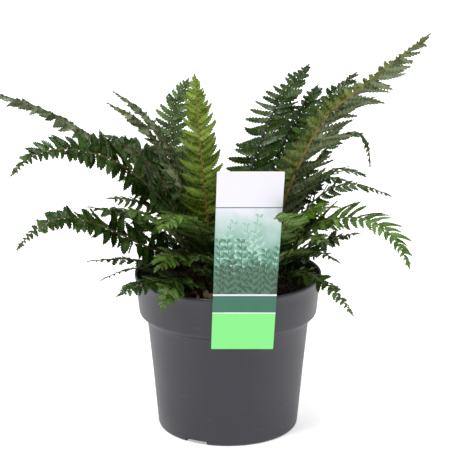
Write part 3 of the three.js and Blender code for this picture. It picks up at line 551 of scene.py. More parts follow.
def lobe_corners(start, width, half, cut, spine):
    """The outline of one lobe, from its hind notch over its more or less spiny point to its front edge"""
    return {
        "back": (start + 0.14 * width, half * (1 - cut * 0.35)),
        "crest": (start + 0.52 * width, half * 0.99),
        "point": (start + (0.84 + 0.28 * spine) * width, half * (0.93 + 0.17 * spine) + 0.05 * spine),
        "front": (start + 0.96 * width, half * (0.92 - cut * 0.45)),
        "middle": (start + 0.5 * width, half * 0.5),
    }


# %% Leaflet pattern
def leaflet_pattern(lobes, cut, ear, belly, spine=1.0):
    """The points, triangles, pattern map and edge mark of a leaflet with this many lobes a side"""
    key = (lobes, cut, ear, belly, spine)
    if key in PATTERNS:
        return PATTERNS[key]
    shares = LAST_LOBE * (np.arange(lobes + 1) / lobes) ** 0.94
    rows = []

    def add(x, y, rise, sink, lobe, edge):
        rows.append((x, y, rise, sink, lobe, edge))
        return len(rows) - 1

    costa = [add(x, 0, -0.22, 0.55, k, 0) for k, x in enumerate(shares)]
    tip = add(1.07, 0, -0.3, 0, lobes + 0.5, 1)
    triangles = []
    for side in (1, -1):
        notches = []
        for k, x in enumerate(shares):
            half = leaflet_half(x, ear if side > 0 else 0, belly)
            depth = half * (0.85 if k == 0 else 1 - cut)
            notches.append(add(x + 0.004, side * depth, -0.3, 0, k, 1))
        for k in range(lobes):
            width = shares[k + 1] - shares[k]
            half = leaflet_half(shares[k] + width / 2, ear if side > 0 else 0, belly)
            corners = lobe_corners(shares[k], width, half, cut, spine)
            ring = [costa[k], costa[k + 1], notches[k + 1]]
            for name, at, rise in (("front", 0.93, 0.2), ("point", 0.8, -0.25),
                                   ("crest", 0.45, -0.1), ("back", 0.1, -0.4)):
                x, y = corners[name]
                ring.append(add(x, side * y, rise, 0, k + at, 1))
            ring.append(notches[k])
            x, y = corners["middle"]
            middle = add(x, side * y, 0.5, 0.35, k + 0.5, 0)
            for a, b in zip(ring, ring[1:] + ring[:1]):
                triangles.append((middle, a, b) if side > 0 else (middle, b, a))
        last = notches[-1]
        triangles.append((costa[-1], tip, last) if side > 0 else (costa[-1], last, tip))
    rows = np.array(rows)
    pattern = {
        "x": rows[:, 0], "y": rows[:, 1], "rise": rows[:, 2], "sink": rows[:, 3],
        "flat": np.stack([rows[:, 4], rows[:, 1]], 1), "edge": rows[:, 5],
        "triangles": np.array(triangles),
    }
    PATTERNS[key] = pattern
    return pattern


# %% [markdown]
# A flat leaflet is placed by its foot, by the direction of its midrib and by the way that it faces.
# It bows down and twists along its midrib, its halves fold up, and it curves towards the frond's tip.
# The lower sheet is sunk under the upper one except at the edge, where the two meet.


# %% Bend a leaflet into place
def leaflet_parts(pattern, foot, axis, across, normal, size, bend, shade, materials):
    """Bends a pattern into place. It gives the upper and the lower sheet as two parts."""
    length, width = size
    tilt = bend.get("tilt", 0)
    across, normal = (across * math.cos(tilt) + normal * math.sin(tilt),
                      normal * math.cos(tilt) - across * math.sin(tilt))
    x = pattern["x"][:, None]
    y = pattern["y"][:, None] * width / 2
    lean = bend["lean"] * np.abs(y) * np.clip(x / 0.2, 0, 1)
    curve = bend["sickle"] * length * x ** 2
    height = (-bend["droop"] * length * x ** 2 + bend["fold"] * np.abs(y)
              + bend["ripple"] * width * np.sin(x * 9 + bend["phase"]) * pattern["y"][:, None])
    turn = bend["twist"] * x
    sideways = across * np.cos(turn) + normal * np.sin(turn)
    upward = normal * np.cos(turn) - across * np.sin(turn)
    spine = foot + axis * (x * length) + across * curve
    relief = width / 8
    hand = 1 if np.dot(np.cross(axis, across), normal) > 0 else -1
    sheets = []
    for sheet in (0, 1):
        lift = pattern["rise"][:, None] * relief - sheet * pattern["sink"][:, None]
        points = spine + axis * lean + sideways * y + upward * (height + lift)
        triangles = pattern["triangles"]
        if (hand > 0) == (sheet == 1):
            triangles = triangles[:, ::-1]
        # The tint's second channel is the edge mark, which the leaf skin uses for painted shade along the
        # margin
        tint = np.stack([np.full(len(points), shade[0]), pattern["edge"], np.full(len(points), shade[1])], 1)
        sheets.append(part_of(points, triangles, materials[sheet], pattern["flat"], tint))
    return sheets


print("a five-lobed leaflet has", 2 * len(leaflet_pattern(5, 0.4, 0.3, 1)["triangles"]), "triangles")

# %% [markdown]
# ## Fronds
# A frond is a stalk, the rachis, that leans out of the crown and arches over. Each frond was laid
# along one in the photo: a few points that its rachis passes through, the direction that it arches
# to and its roll about the rachis. Its leaflets stand in two rows, shorter and closer towards the
# tip, and they have one of six habits, from finely cut or round-lobed ones to holly-like ones with
# broad toothed leaflets and slim ones like a comb. Small random turns, from a seed for each frond,
# keep it alive.

# %% Stalk and blade sizes
STALK_WIDTH = 3.2
STALK_TIP_WIDTH = 1.0
STALK_DEPTH = 2.6
STALK_TIP_DEPTH = 0.6
STALK_RINGS = 46
STALK_SIDES = 9
BLADE_END = 0.975
LEAFLET_ANGLE = 68
LEAFLET_DROOP = 12
LEAFLET_MIN = 3.2
TIP_LEAFLET = 9
# The first leaflets have this share of the full reach, and the next ones soon grow to all of it
BLADE_FOOT = 0.62
BLADE_RISE = 1.6
FEWEST_LOBES = 3
MOST_LOBES = 9

# %% Leaflet habits
# For each habit: the distance between leaflets and the length of a lobe in mm, the width of a leaflet
# as a share of that distance, its depth of cut, how spiny its lobes are, its ear, how late it tapers,
# its curve towards the frond's tip, the lean of its lobes, its fold, its turn about its own length,
# and how far its leaflets stray from their row in degrees
HABITS = {
    "fine": {"spacing": 6.2, "lobe_mm": 2.7, "broad": 1.3, "cut": 0.42, "spine": 0.4, "ear": 0.25,
             "belly": 2.0, "sickle": 0.28, "lean": 0.4, "fold": 0.16, "tilt": 8, "stray": 5},
    "round": {"spacing": 7.2, "lobe_mm": 3.8, "broad": 1.14, "cut": 0.45, "spine": 0.0, "ear": 0.3,
              "belly": 3.4, "sickle": 0.1, "lean": 0.3, "fold": 0.16, "tilt": 6, "stray": 5},
    "holly": {"spacing": 6.2, "lobe_mm": 2.6, "broad": 1.7, "cut": 0.2, "spine": 0.5, "ear": 0.3,
              "belly": 2.4, "sickle": 0.12, "lean": 0.25, "fold": 0.2, "tilt": 12, "stray": 9},
    "comb": {"spacing": 6.6, "lobe_mm": 2.6, "broad": 1.3, "cut": 0.25, "spine": 0.4, "ear": 0.3,
             "belly": 2.1, "sickle": 0.16, "lean": 0.3, "fold": 0.18, "tilt": 10, "stray": 8},
    "slim": {"spacing": 7.4, "lobe_mm": 2.6, "broad": 0.86, "cut": 0.3, "spine": 0.3, "ear": 0.35,
             "belly": 1.9, "sickle": 0.3, "lean": 0.4, "fold": 0.16, "tilt": 8, "stray": 6},
    "rough": {"spacing": 6.6, "lobe_mm": 3.6, "broad": 1.3, "cut": 0.42, "spine": 0.4, "ear": 0.35,
              "belly": 2.0, "sickle": 0.14, "lean": 0.3, "fold": 0.2, "tilt": 4, "stray": 10},
}
print("habits:", ", ".join(HABITS))

# %% Where each frond grows
# For each frond: the tone of its leaflets and their habit, half its width in mm, the direction that
# it arches to and its roll in degrees, the share of its stalk that is bare, how late the blade tapers
# and the points of its stalk in mm. Some differ from the usual leaf skin or bark, have stouter stalks
# or leaflets that droop more. Pairs are for the two rows of leaflets: their angle to the stalk
# (sweeps), their reach as a share of the half width, and how late they taper.
FRONDS = [
    # The long fronds that give the plant its outline
    {"name": "frond_front_pale", "tone": "pale", "habit": "fine", "stout": 1.5, "half": 27,
     "face": 262, "bare": 0.22, "taper": 3.2, "sweeps": (72, 68),
     "path": [(-12, -14, 149), (-18, -28, 203), (-23, -38, 257), (-28, -48, 319), (-32, -58, 377)]},
    {"name": "frond_right_long", "tone": "olive", "habit": "rough", "other_tone": "grey", "stout": 1.7,
     "half": 30, "face": 338, "roll": 55, "bare": 0.18, "taper": 2.0, "tapers": (1.2, 3.0),
     "sweeps": (92, 50), "reaches": (1.05, 1.15),
     "path": [(20, -8, 149), (42, -25, 202), (63, -45, 271), (92, -60, 332), (136, -70, 374),
              (190, -78, 419)]},
    {"name": "frond_left_broad", "tone": "dark", "habit": "holly", "half": 30, "face": 190, "roll": 50,
     "bare": 0.27, "taper": 2.2, "sweeps": (66, 108), "reaches": (1.1, 0.66),
     "path": [(-22, -10, 149), (-52, -25, 225), (-95, -45, 278), (-133, -60, 300), (-164, -69, 305),
              (-189, -76, 298), (-209, -81, 280)]},
    {"name": "frond_left_long", "tone": "grey", "habit": "comb", "half": 23, "face": 175, "droop": 34,
     "bare": 0.24, "taper": 6, "sweeps": (50, 84), "reaches": (0.8, 0.62),
     "path": [(-18, 6, 149), (-50, 17, 220), (-75, 27, 260), (-101, 38, 282), (-131, 48, 287),
              (-166, 60, 305), (-205, 69, 321), (-256, 75, 335)]},
    {"name": "frond_left_low", "tone": "dark", "habit": "holly", "half": 27, "face": 196, "roll": 48,
     "bare": 0.16, "taper": 3.4, "tapers": (1.3, 3.4), "sweeps": (80, 104), "reaches": (1.3, 0.6),
     "path": [(-28, -20, 149), (-50, -30, 183), (-84, -45, 203), (-129, -60, 229), (-158, -71, 238),
              (-184, -80, 229), (-204, -85, 209)]},
    {"name": "frond_right_upright", "tone": "dark", "habit": "round", "bark": "black", "stout": 1.3,
     "half": 34, "face": 80, "bare": 0.16, "taper": 3.6, "sweeps": (54, 102), "reaches": (0.82, 0.94),
     "path": [(4, 16, 149), (12, 25, 203), (27, 55, 265), (51, 85, 316), (86, 110, 356)]},
    {"name": "frond_right_inner", "tone": "dark", "habit": "round", "bark": "black", "half": 25,
     "face": 40, "bare": 0.2, "taper": 5.5, "sweeps": (52, 98), "reaches": (1.0, 1.0),
     "path": [(16, 8, 149), (34, 12, 207), (60, 35, 266), (93, 55, 320), (133, 70, 355)]},
    {"name": "frond_right_bright", "tone": "bright", "habit": "slim", "bark": "green", "half": 24,
     "face": 342, "roll": -35, "bare": 0.24, "taper": 3.4, "sweeps": (84, 58), "reaches": (0.58, 1.1),
     "path": [(28, -18, 149), (51, -35, 195), (85, -55, 227), (112, -64, 236), (138, -72, 235),
              (160, -79, 219), (176, -84, 190)]},
    {"name": "frond_back_left_upright", "tone": "dark", "habit": "round", "skin": "cool", "half": 24,
     "face": 95, "bare": 0.2, "taper": 3.6, "reaches": (1.15, 1.15),
     "path": [(-14, 24, 149), (-33, 36, 206), (-55, 64, 257), (-58, 86, 305), (-41, 102, 342)]},
    # Slimmer fronds behind and beside them
    {"name": "frond_left_thin_high", "tone": "grey", "habit": "comb", "half": 11, "face": 178,
     "droop": 38, "bare": 0.3, "taper": 4, "sweeps": (40, 60),
     "path": [(-19, 23, 149), (-41, 30, 239), (-65, 54, 288), (-91, 76, 313), (-121, 98, 329)]},
    {"name": "frond_left_thin_low", "tone": "grey", "habit": "comb", "half": 11, "face": 178,
     "droop": 38, "bare": 0.3, "taper": 4, "sweeps": (40, 60),
     "path": [(-25, 18, 149), (-41, 20, 231), (-61, 38, 268), (-86, 55, 301), (-126, 78, 321)]},
    {"name": "frond_left_behind", "tone": "dark", "habit": "holly", "half": 22, "face": 170,
     "roll": 40, "bare": 0.3, "taper": 2.4, "sweeps": (52, 100), "reaches": (1.0, 1.4),
     "path": [(-29, 22, 149), (-54, 38, 222), (-78, 62, 256), (-100, 80, 272), (-130, 96, 282)]},
    {"name": "frond_right_behind", "tone": "dark", "habit": "round", "bark": "black", "half": 22,
     "face": 60, "bare": 0.3, "taper": 5, "sweeps": (54, 98), "reaches": (1.05, 1.05),
     "path": [(14, 24, 149), (29, 44, 213), (52, 78, 261), (72, 104, 297), (96, 125, 331)]},
    {"name": "frond_right_drooping", "tone": "dark", "habit": "slim", "half": 10, "face": 10,
     "droop": 38, "bare": 0.3, "taper": 5,
     "path": [(26, 2, 149), (54, 6, 202), (83, 20, 262), (108, 29, 292), (129, 34, 299), (142, 38, 286),
              (146, 40, 260)]},
    {"name": "frond_right_slim_back", "tone": "dark", "habit": "slim", "half": 17, "face": 40,
     "roll": 20, "bare": 0.3, "taper": 7,
     "path": [(26, 16, 149), (60, 32, 206), (90, 60, 239), (115, 80, 250), (146, 95, 238)]},
    {"name": "frond_right_level", "tone": "dark", "habit": "slim", "half": 17, "face": 5, "roll": -20,
     "droop": 20, "bare": 0.3, "taper": 2.2,
     "path": [(32, -4, 149), (58, -2, 196), (91, 6, 238), (125, 10, 251), (165, 12, 238)]},
    {"name": "frond_right_short", "tone": "dark", "habit": "comb", "half": 20, "face": 335,
     "roll": -20, "bare": 0.3, "taper": 4,
     "path": [(27, -12, 149), (47, -14, 203), (69, -22, 243), (92, -32, 266), (115, -42, 268)]},
    # Low fronds on the right, down to the rim
    {"name": "frond_right_low_1", "tone": "dark", "habit": "holly", "half": 17, "face": 8, "roll": -20,
     "bare": 0.26, "taper": 2.3, "sweeps": (92, 60),
     "path": [(36, 8, 149), (58, 10, 170), (86, 16, 184), (109, 20, 191), (132, 24, 195)]},
    {"name": "frond_right_low_2", "tone": "dark", "habit": "holly", "half": 18, "face": 338,
     "roll": -10, "bare": 0.24, "taper": 2.4, "sweeps": (92, 60),
     "path": [(34, -14, 149), (57, -22, 174), (77, -33, 188), (91, -41, 194), (107, -49, 188)]},
    {"name": "frond_right_over_rim", "tone": "fresh", "habit": "holly", "half": 14, "face": 330,
     "roll": -20, "bare": 0.3, "taper": 2.2, "sweeps": (84, 60),
     "path": [(29, -24, 149), (52, -34, 163), (78, -50, 173), (100, -61, 165), (121, -70, 141)]},
    {"name": "frond_front_right", "tone": "fresh", "habit": "fine", "skin": "bright", "half": 20,
     "face": 290, "bare": 0.22, "taper": 6,
     "path": [(20, -28, 149), (38, -46, 186), (53, -72, 224), (58, -98, 246), (48, -122, 257)]},
    # Low fronds on the left, down to the rim
    {"name": "frond_left_mid_1", "tone": "dark", "habit": "slim", "half": 20, "face": 200, "roll": 10,
     "bare": 0.24, "taper": 4, "sweeps": (60, 88), "reaches": (1.0, 1.2),
     "path": [(-22, -20, 149), (-38, -28, 192), (-60, -34, 226), (-88, -42, 246), (-116, -50, 252)]},
    {"name": "frond_left_mid_2", "tone": "fresh", "habit": "fine", "half": 24, "face": 215, "roll": 10,
     "bare": 0.24, "taper": 3.5, "sweeps": (60, 88), "reaches": (0.8, 1.3),
     "path": [(-18, -26, 149), (-34, -42, 190), (-55, -60, 223), (-80, -71, 241), (-104, -80, 250)]},
    {"name": "frond_left_low_thin", "tone": "dark", "habit": "round", "half": 15, "face": 176,
     "bare": 0.3, "taper": 2.2, "sweeps": (56, 90),
     "path": [(-36, 3, 149), (-60, 8, 164), (-84, 12, 169), (-112, 16, 170), (-141, 20, 167)]},
    {"name": "frond_left_wisp", "tone": "dark", "habit": "comb", "half": 6, "face": 188, "bare": 0.3,
     "taper": 2.2,
     "path": [(-36, -9, 149), (-60, -12, 160), (-80, -15, 168), (-100, -19, 170), (-124, -24, 162)]},
    {"name": "frond_front_left_rim", "tone": "dark", "habit": "fine", "half": 18, "face": 222,
     "roll": 25, "bare": 0.2, "taper": 3.5, "sweeps": (60, 92),
     "path": [(-27, -26, 149), (-41, -48, 167), (-62, -68, 174), (-83, -84, 175), (-104, -98, 169)]},
    {"name": "frond_front_left_over", "tone": "fresh", "habit": "holly", "half": 20, "face": 246,
     "bare": 0.24, "taper": 3.5,
     "path": [(-21, -35, 149), (-34, -58, 168), (-45, -80, 179), (-55, -98, 176), (-64, -110, 158)]},
    {"name": "frond_front_left_near", "tone": "fresh", "habit": "holly", "half": 24, "face": 236,
     "roll": 10, "bare": 0.2, "taper": 4,
     "path": [(-10, -30, 149), (-22, -52, 178), (-38, -76, 200), (-54, -98, 208), (-68, -116, 200)]},
    {"name": "frond_front_left_high", "tone": "fresh", "habit": "fine", "skin": "bright", "half": 26,
     "face": 240, "bare": 0.2, "taper": 4, "reaches": (1.1, 1.0),
     "path": [(-6, -22, 149), (-18, -44, 200), (-34, -72, 236), (-50, -100, 248), (-64, -124, 240)]},
    # The dense middle of the plant
    {"name": "frond_front_low", "tone": "dark", "habit": "holly", "half": 19, "face": 256, "bare": 0.2,
     "taper": 2.6,
     "path": [(-4, -38, 149), (-10, -57, 176), (-18, -75, 197), (-26, -92, 207), (-34, -108, 206)]},
    {"name": "frond_left_inner_high", "tone": "dark", "habit": "holly", "half": 22, "face": 188,
     "roll": 30, "bare": 0.16, "taper": 2.6, "sweeps": (60, 98),
     "path": [(-10, 0, 149), (-24, -5, 186), (-39, -6, 224), (-53, -1, 250), (-68, 6, 268)]},
    {"name": "frond_left_inner_mid", "tone": "dark", "habit": "round", "half": 17, "face": 186,
     "roll": 25, "bare": 0.2, "taper": 2.4, "sweeps": (60, 98), "reaches": (1.1, 1.7),
     "path": [(-30, -4, 149), (-38, -8, 188), (-50, -10, 221), (-66, -10, 240), (-84, -8, 248)]},
    {"name": "frond_centre_dark", "tone": "dark", "habit": "round", "half": 24, "face": 115,
     "bare": 0.16, "taper": 2.8,
     "path": [(-4, 6, 149), (-12, 9, 188), (-21, 18, 226), (-30, 32, 260), (-42, 50, 288)]},
    {"name": "frond_right_inner_dark", "tone": "dark", "habit": "round", "half": 20, "face": 25,
     "bare": 0.16, "taper": 2.6,
     "path": [(10, -5, 149), (24, -6, 186), (41, -2, 222), (58, 8, 254), (76, 22, 280)]},
    {"name": "frond_right_mid", "tone": "fresh", "habit": "comb", "skin": "bright", "half": 24,
     "face": 330, "roll": -20, "bare": 0.24, "taper": 2.4, "sweeps": (88, 60),
     "path": [(18, -22, 149), (38, -34, 188), (58, -42, 218), (81, -52, 241), (106, -60, 246)]},
    {"name": "frond_right_front", "tone": "fresh", "habit": "holly", "half": 23, "face": 318,
     "roll": -10, "bare": 0.22, "taper": 2.4, "sweeps": (88, 60),
     "path": [(16, -35, 149), (36, -51, 176), (60, -62, 203), (80, -76, 221), (98, -90, 216)]},
    {"name": "frond_right_soil", "tone": "dark", "habit": "holly", "half": 14, "face": 320,
     "roll": -10, "bare": 0.2, "taper": 2.4, "sweeps": (88, 60),
     "path": [(25, -31, 149), (40, -46, 166), (57, -60, 178), (74, -72, 184), (90, -83, 178)]},
    # The far side, which the photo hides
    {"name": "frond_back_1", "tone": "dark", "habit": "holly", "half": 22, "face": 18, "bare": 0.18,
     "taper": 2.4,
     "path": [(30, 22, 149), (57, 40, 180), (84, 61, 195), (107, 80, 194), (127, 98, 180)]},
    {"name": "frond_back_2", "tone": "dark", "habit": "round", "half": 24, "face": 48, "bare": 0.18,
     "taper": 2.4,
     "path": [(20, 32, 149), (40, 62, 190), (63, 98, 217), (82, 132, 222), (98, 162, 209)]},
    {"name": "frond_back_3", "tone": "dark", "habit": "round", "half": 26, "face": 78, "bare": 0.18,
     "taper": 2.4,
     "path": [(8, 34, 149), (16, 66, 190), (28, 112, 222), (38, 160, 222), (44, 200, 196)]},
    {"name": "frond_back_4", "tone": "dark", "habit": "round", "half": 26, "face": 105, "bare": 0.18,
     "taper": 2.4,
     "path": [(-4, 32, 149), (-12, 62, 196), (-24, 104, 232), (-38, 150, 236), (-52, 190, 212)]},
    {"name": "frond_back_5", "tone": "dark", "habit": "holly", "half": 24, "face": 132, "bare": 0.18,
     "taper": 2.4,
     "path": [(-16, 32, 149), (-37, 64, 190), (-66, 98, 221), (-95, 124, 229), (-120, 146, 220)]},
    {"name": "frond_back_6", "tone": "dark", "habit": "holly", "half": 20, "face": 158, "bare": 0.18,
     "taper": 2.4,
     "path": [(-32, 30, 149), (-56, 44, 178), (-84, 60, 196), (-114, 76, 203), (-149, 92, 205)]},
]
print("fronds:", len(FRONDS))


# %% The line of a frond
def unit(vector):
    """The vector at length 1"""
    return vector / np.linalg.norm(vector)


def turn_about(vector, axis, degrees):
    """The vector turned about an axis of length 1"""
    angle = math.radians(degrees)
    return (vector * math.cos(angle) + np.cross(axis, vector) * math.sin(angle)
            + axis * np.dot(axis, vector) * (1 - math.cos(angle)))


def frond_line(frond):
    """A smooth line through the frond's points, as a function that gives its axes at a share of it"""
    through = np.array(frond["path"], float)
    knots = np.vstack([2 * through[0] - through[1], through, 2 * through[-1] - through[-2]])
    t = np.linspace(0, 1, 60, endpoint=False)[:, None]
    pieces = []
    for i in range(len(through) - 1):
        before, start, end, after = knots[i:i + 4]
        leave, arrive = (end - before) / 2, (after - start) / 2
        pieces.append((2 * t ** 3 - 3 * t ** 2 + 1) * start + (t ** 3 - 2 * t ** 2 + t) * leave
                      + (3 * t ** 2 - 2 * t ** 3) * end + (t ** 3 - t ** 2) * arrive)
    line = np.vstack([*pieces, through[-1:]])
    run = np.concatenate([[0], np.cumsum(np.linalg.norm(np.diff(line, axis=0), axis=1))])
    face = math.radians(frond["face"])
    level = np.array([math.sin(face), -math.cos(face), 0])

    def point(share):
        return np.array([np.interp(share * run[-1], run, line[:, i]) for i in range(3)])

    def axes(share):
        along = unit(point(min(share + 0.004, 1)) - point(max(share - 0.004, 0)))
        up = turn_about(unit(np.cross(level, along)), along, -frond.get("roll", 0))
        return {"point": point(share), "along": along, "up": up, "side": np.cross(along, up)}

    return axes, run[-1]


# %% How far the two rows of leaflets reach
def row_value(frond, key, hand, usual):
    """What a frond has for one of its two rows of leaflets, or else the usual value"""
    return frond.get(key, (usual, usual))[0 if hand > 0 else 1]


def blade_width(frond, u, hand):
    """How far the blade reaches out to one side, in mm, at a share of its own length"""
    reach = frond["half"] * row_value(frond, "reaches", hand, 1)
    taper = row_value(frond, "tapers", hand, frond["taper"])
    return reach * min(1, BLADE_FOOT + BLADE_RISE * u) * (1 - u ** taper)


# %% [markdown]
# The stalk is an oval rod, grooved on its upper side, and it is clothed in papery brown scales that
# are thickest at its foot. They are what makes the stalks in the photo look furry and orange.


# %% The stalk and its scales
def stalk_part(axes, stout, material):
    """The rachis as a tapered oval rod with a groove along its upper side"""
    rings, sides = STALK_RINGS, STALK_SIDES
    turns = np.linspace(0, 2 * math.pi, sides, endpoint=False) + math.pi / 2
    points = []
    for i in range(rings):
        share = min(i / (rings - 1), 0.995)
        here = axes(share)
        width = stout * (STALK_WIDTH + (STALK_TIP_WIDTH - STALK_WIDTH) * share)
        depth = stout * (STALK_DEPTH + (STALK_TIP_DEPTH - STALK_DEPTH) * share)
        for n, turn in enumerate(turns):
            groove = 0.62 if n == 0 else 1
            points.append(here["point"] + here["side"] * math.cos(turn) * width / 2
                          + here["up"] * math.sin(turn) * groove * depth / 2)
    triangles = [(0, n + 1, n) for n in range(1, sides - 1)]
    last = (rings - 1) * sides
    triangles += [(last, last + n, last + n + 1) for n in range(1, sides - 1)]
    triangles += tube_faces(rings, sides)
    tint = np.zeros((len(points), 3))
    tint[:, 2] = np.repeat(np.arange(rings) / (rings - 1), sides)
    return part_of(points, triangles, material, tint=tint)


# %% Papery scales
def flake(root, lean, edge, curl, long, broad, foot):
    """A narrow pointed flake as five points: two at its foot, two half way and a tip that curls"""
    half_way = root + lean * long * 0.5
    return [root - edge * broad * foot, root + edge * broad * foot,
            half_way + edge * broad, half_way - edge * broad, root + lean * long + curl * long]


def flakes_part(flakes, rng, material):
    """Many flakes as one part, each with a tint of its own"""
    faces = np.array([(0, 1, 2), (0, 2, 3), (3, 2, 4)])
    triangles = np.vstack([faces + 5 * i for i in range(len(flakes))])
    tint = np.repeat(rng.random((len(flakes), 3)), 5, axis=0)
    return part_of(np.array(flakes).reshape(-1, 3), triangles, material, tint=tint)


def scale_parts(axes, count, reach, rng, material):
    """Papery scales: narrow pointed flakes that lean up the stalk, most of them near its foot"""
    flakes = []
    for _ in range(count):
        share = 0.03 + reach * rng.random() ** 1.5
        here = axes(share)
        turn = rng.uniform(0, 2 * math.pi)
        out = here["side"] * math.cos(turn) + here["up"] * math.sin(turn)
        edge = np.cross(here["along"], out)
        width = STALK_WIDTH + (STALK_TIP_WIDTH - STALK_WIDTH) * share
        long = rng.uniform(2.2, 5.0) * (1 - 0.5 * share)
        broad = rng.uniform(0.3, 0.6)
        root = here["point"] + out * width * 0.42
        lean = unit(here["along"] + out * rng.uniform(0.25, 1.1) + edge * rng.uniform(-0.4, 0.4))
        flakes.append(flake(root, lean, edge, here["along"] * 0.25, long, broad, 0.5))
    return flakes_part(flakes, rng, material)


# %% [markdown]
# A leaflet may not cut through the pot, the soil or the label. Each one is tried at its full length
# and made shorter until it clears them.

# %% Clear of the pot and the label
LABEL_TOP_WIDTH = 64
LABEL_FOOT_WIDTH = 60
LABEL_TOP_Z = 290
LABEL_FOOT_Z = 113
LABEL_TOP_X = 21.4
LABEL_FOOT_X = 13.5
LABEL_BACK_Y = -96
LABEL_THICKNESS = 0.8
ROOM = 1.0
SHORTEN = 0.85
SHORTEN_TRIES = 9


def blocked(points):
    """Whether any point is in the pot's wall or the soil, or the points pass through the label"""
    x, y, z = points.T
    radius = np.hypot(x, y)
    in_wall = (z < POT_HEIGHT + ROOM) & (np.abs(radius - RIM_RADIUS + 2) < 2.6 + ROOM)
    in_soil = (z < SOIL_Z + 2) & (radius < RIM_RADIUS)
    rise = (z - LABEL_FOOT_Z) / (LABEL_TOP_Z - LABEL_FOOT_Z)
    middle = LABEL_FOOT_X + (LABEL_TOP_X - LABEL_FOOT_X) * rise
    half = (LABEL_FOOT_WIDTH + (LABEL_TOP_WIDTH - LABEL_FOOT_WIDTH) * rise) / 2
    over_card = (rise > -0.01) & (rise < 1.01) & (np.abs(x - middle) < half + ROOM)
    behind = over_card & (y > LABEL_BACK_Y - LABEL_THICKNESS - ROOM)
    ahead = over_card & (y < LABEL_BACK_Y + ROOM)
    return in_wall.any() or in_soil.any() or (behind.any() and ahead.any())


# %% Grow a leaflet
def grow_leaflet(frond, axes, share, hand, spacing, u, rng, materials):
    """One leaflet of a frond, shortened until it is clear"""
    habit = HABITS[frond["habit"]]
    here = axes(share)
    turn = row_value(frond, "sweeps", hand, LEAFLET_ANGLE)
    sweep = math.radians(turn - 16 * u ** 3 + rng.normal(0, habit["stray"]))
    droop = math.radians(frond.get("droop", LEAFLET_DROOP) + rng.normal(0, 1.6 * habit["stray"]))
    out = here["side"] * hand * math.cos(droop) - here["up"] * math.sin(droop)
    axis = here["along"] * math.cos(sweep) + out * math.sin(sweep)
    across = here["along"] * math.sin(sweep) - out * math.cos(sweep)
    normal = np.cross(axis, across) * hand
    # A leaflet's foot sits on the flank of the stalk, a little below its middle
    stalk = STALK_WIDTH + (STALK_TIP_WIDTH - STALK_WIDTH) * share
    foot = here["point"] + here["side"] * hand * stalk * 0.25 - here["up"] * stalk * 0.3
    length = max(blade_width(frond, u, hand) / max(math.sin(sweep), 0.65), LEAFLET_MIN)
    length *= rng.uniform(0.84, 1.06)
    width = spacing * habit["broad"] * rng.uniform(0.92, 1.08) * (1 - 0.12 * u)
    bend = {
        "lean": habit["lean"], "sickle": rng.normal(habit["sickle"], 0.05), "droop": rng.normal(0.06, 0.1),
        "fold": rng.normal(habit["fold"], 0.14), "ripple": 0.06, "phase": rng.uniform(0, 6),
        "twist": rng.normal(0, 0.4), "tilt": math.radians(rng.normal(habit["tilt"], 1.6 * habit["stray"])),
    }
    shade = (rng.random(), u)
    for _ in range(SHORTEN_TRIES):
        lobes = int(np.clip(round(length / habit["lobe_mm"]), FEWEST_LOBES, MOST_LOBES))
        cut = habit["cut"] if length > 9 else habit["cut"] * 0.6
        pattern = leaflet_pattern(lobes, round(cut, 3), habit["ear"], habit["belly"], habit["spine"])
        size = (length, min(width, length * 0.68))
        sheets = leaflet_parts(pattern, foot, axis, across, normal, size, bend, shade, materials)
        if not blocked(sheets[0]["points"]):
            break
        length *= SHORTEN
    return sheets


# %% Grow a frond
def grow_frond(frond, seed, materials, scales):
    """A whole frond as one mesh: leaflets, end leaflet, stalk and scales"""
    rng = np.random.default_rng(seed)
    axes, run = frond_line(frond)
    bare = frond["bare"]
    pairs = round((BLADE_END - bare) * run / HABITS[frond["habit"]]["spacing"])
    # The leaflets stand closer towards the tip, and those of one row half way between the others
    steps = bare + (BLADE_END - bare) * (1 - (1 - np.arange(pairs + 1) / pairs) ** 1.22)
    parts = [stalk_part(axes, frond.get("stout", 1), 2), scale_parts(axes, scales, 0.75, rng, 3)]
    for hand in (1, -1):
        for i in range(pairs):
            spacing = (steps[i + 1] - steps[i]) * run
            share = steps[i] + (steps[i + 1] - steps[i]) * (0.5 if hand > 0 else 0.05)
            u = (share - bare) / (1 - bare)
            sheets = (0, 1) if hand > 0 or "other_tone" not in frond else (4, 5)
            parts += grow_leaflet(frond, axes, share, hand, spacing, u, rng, sheets)
    end = axes(0.96)
    bend = {"lean": 0.3, "sickle": 0, "droop": 0.1, "fold": 0.1, "ripple": 0, "phase": 0, "twist": 0}
    parts += leaflet_parts(leaflet_pattern(3, 0.3, 0, 1.2), end["point"], end["along"], end["side"] * -1,
                           end["up"], (TIP_LEAFLET, TIP_LEAFLET * 0.55), bend, (0.5, 1), (0, 1))
    return mesh_from_parts(frond["name"] + "_leafy", parts, materials)


# %% [markdown]
# ## Leaf surfaces
# The blade of a holly fern is a leathery leaf with a waxy skin. Its upper side is dark and glossy, and
# its underside is paler and dull. Light veins run from each lobe's foot to its point, so the pattern
# map of the leaflet places them: its first number counts lobes along the midrib, and its second goes
# from the midrib out to the edge.


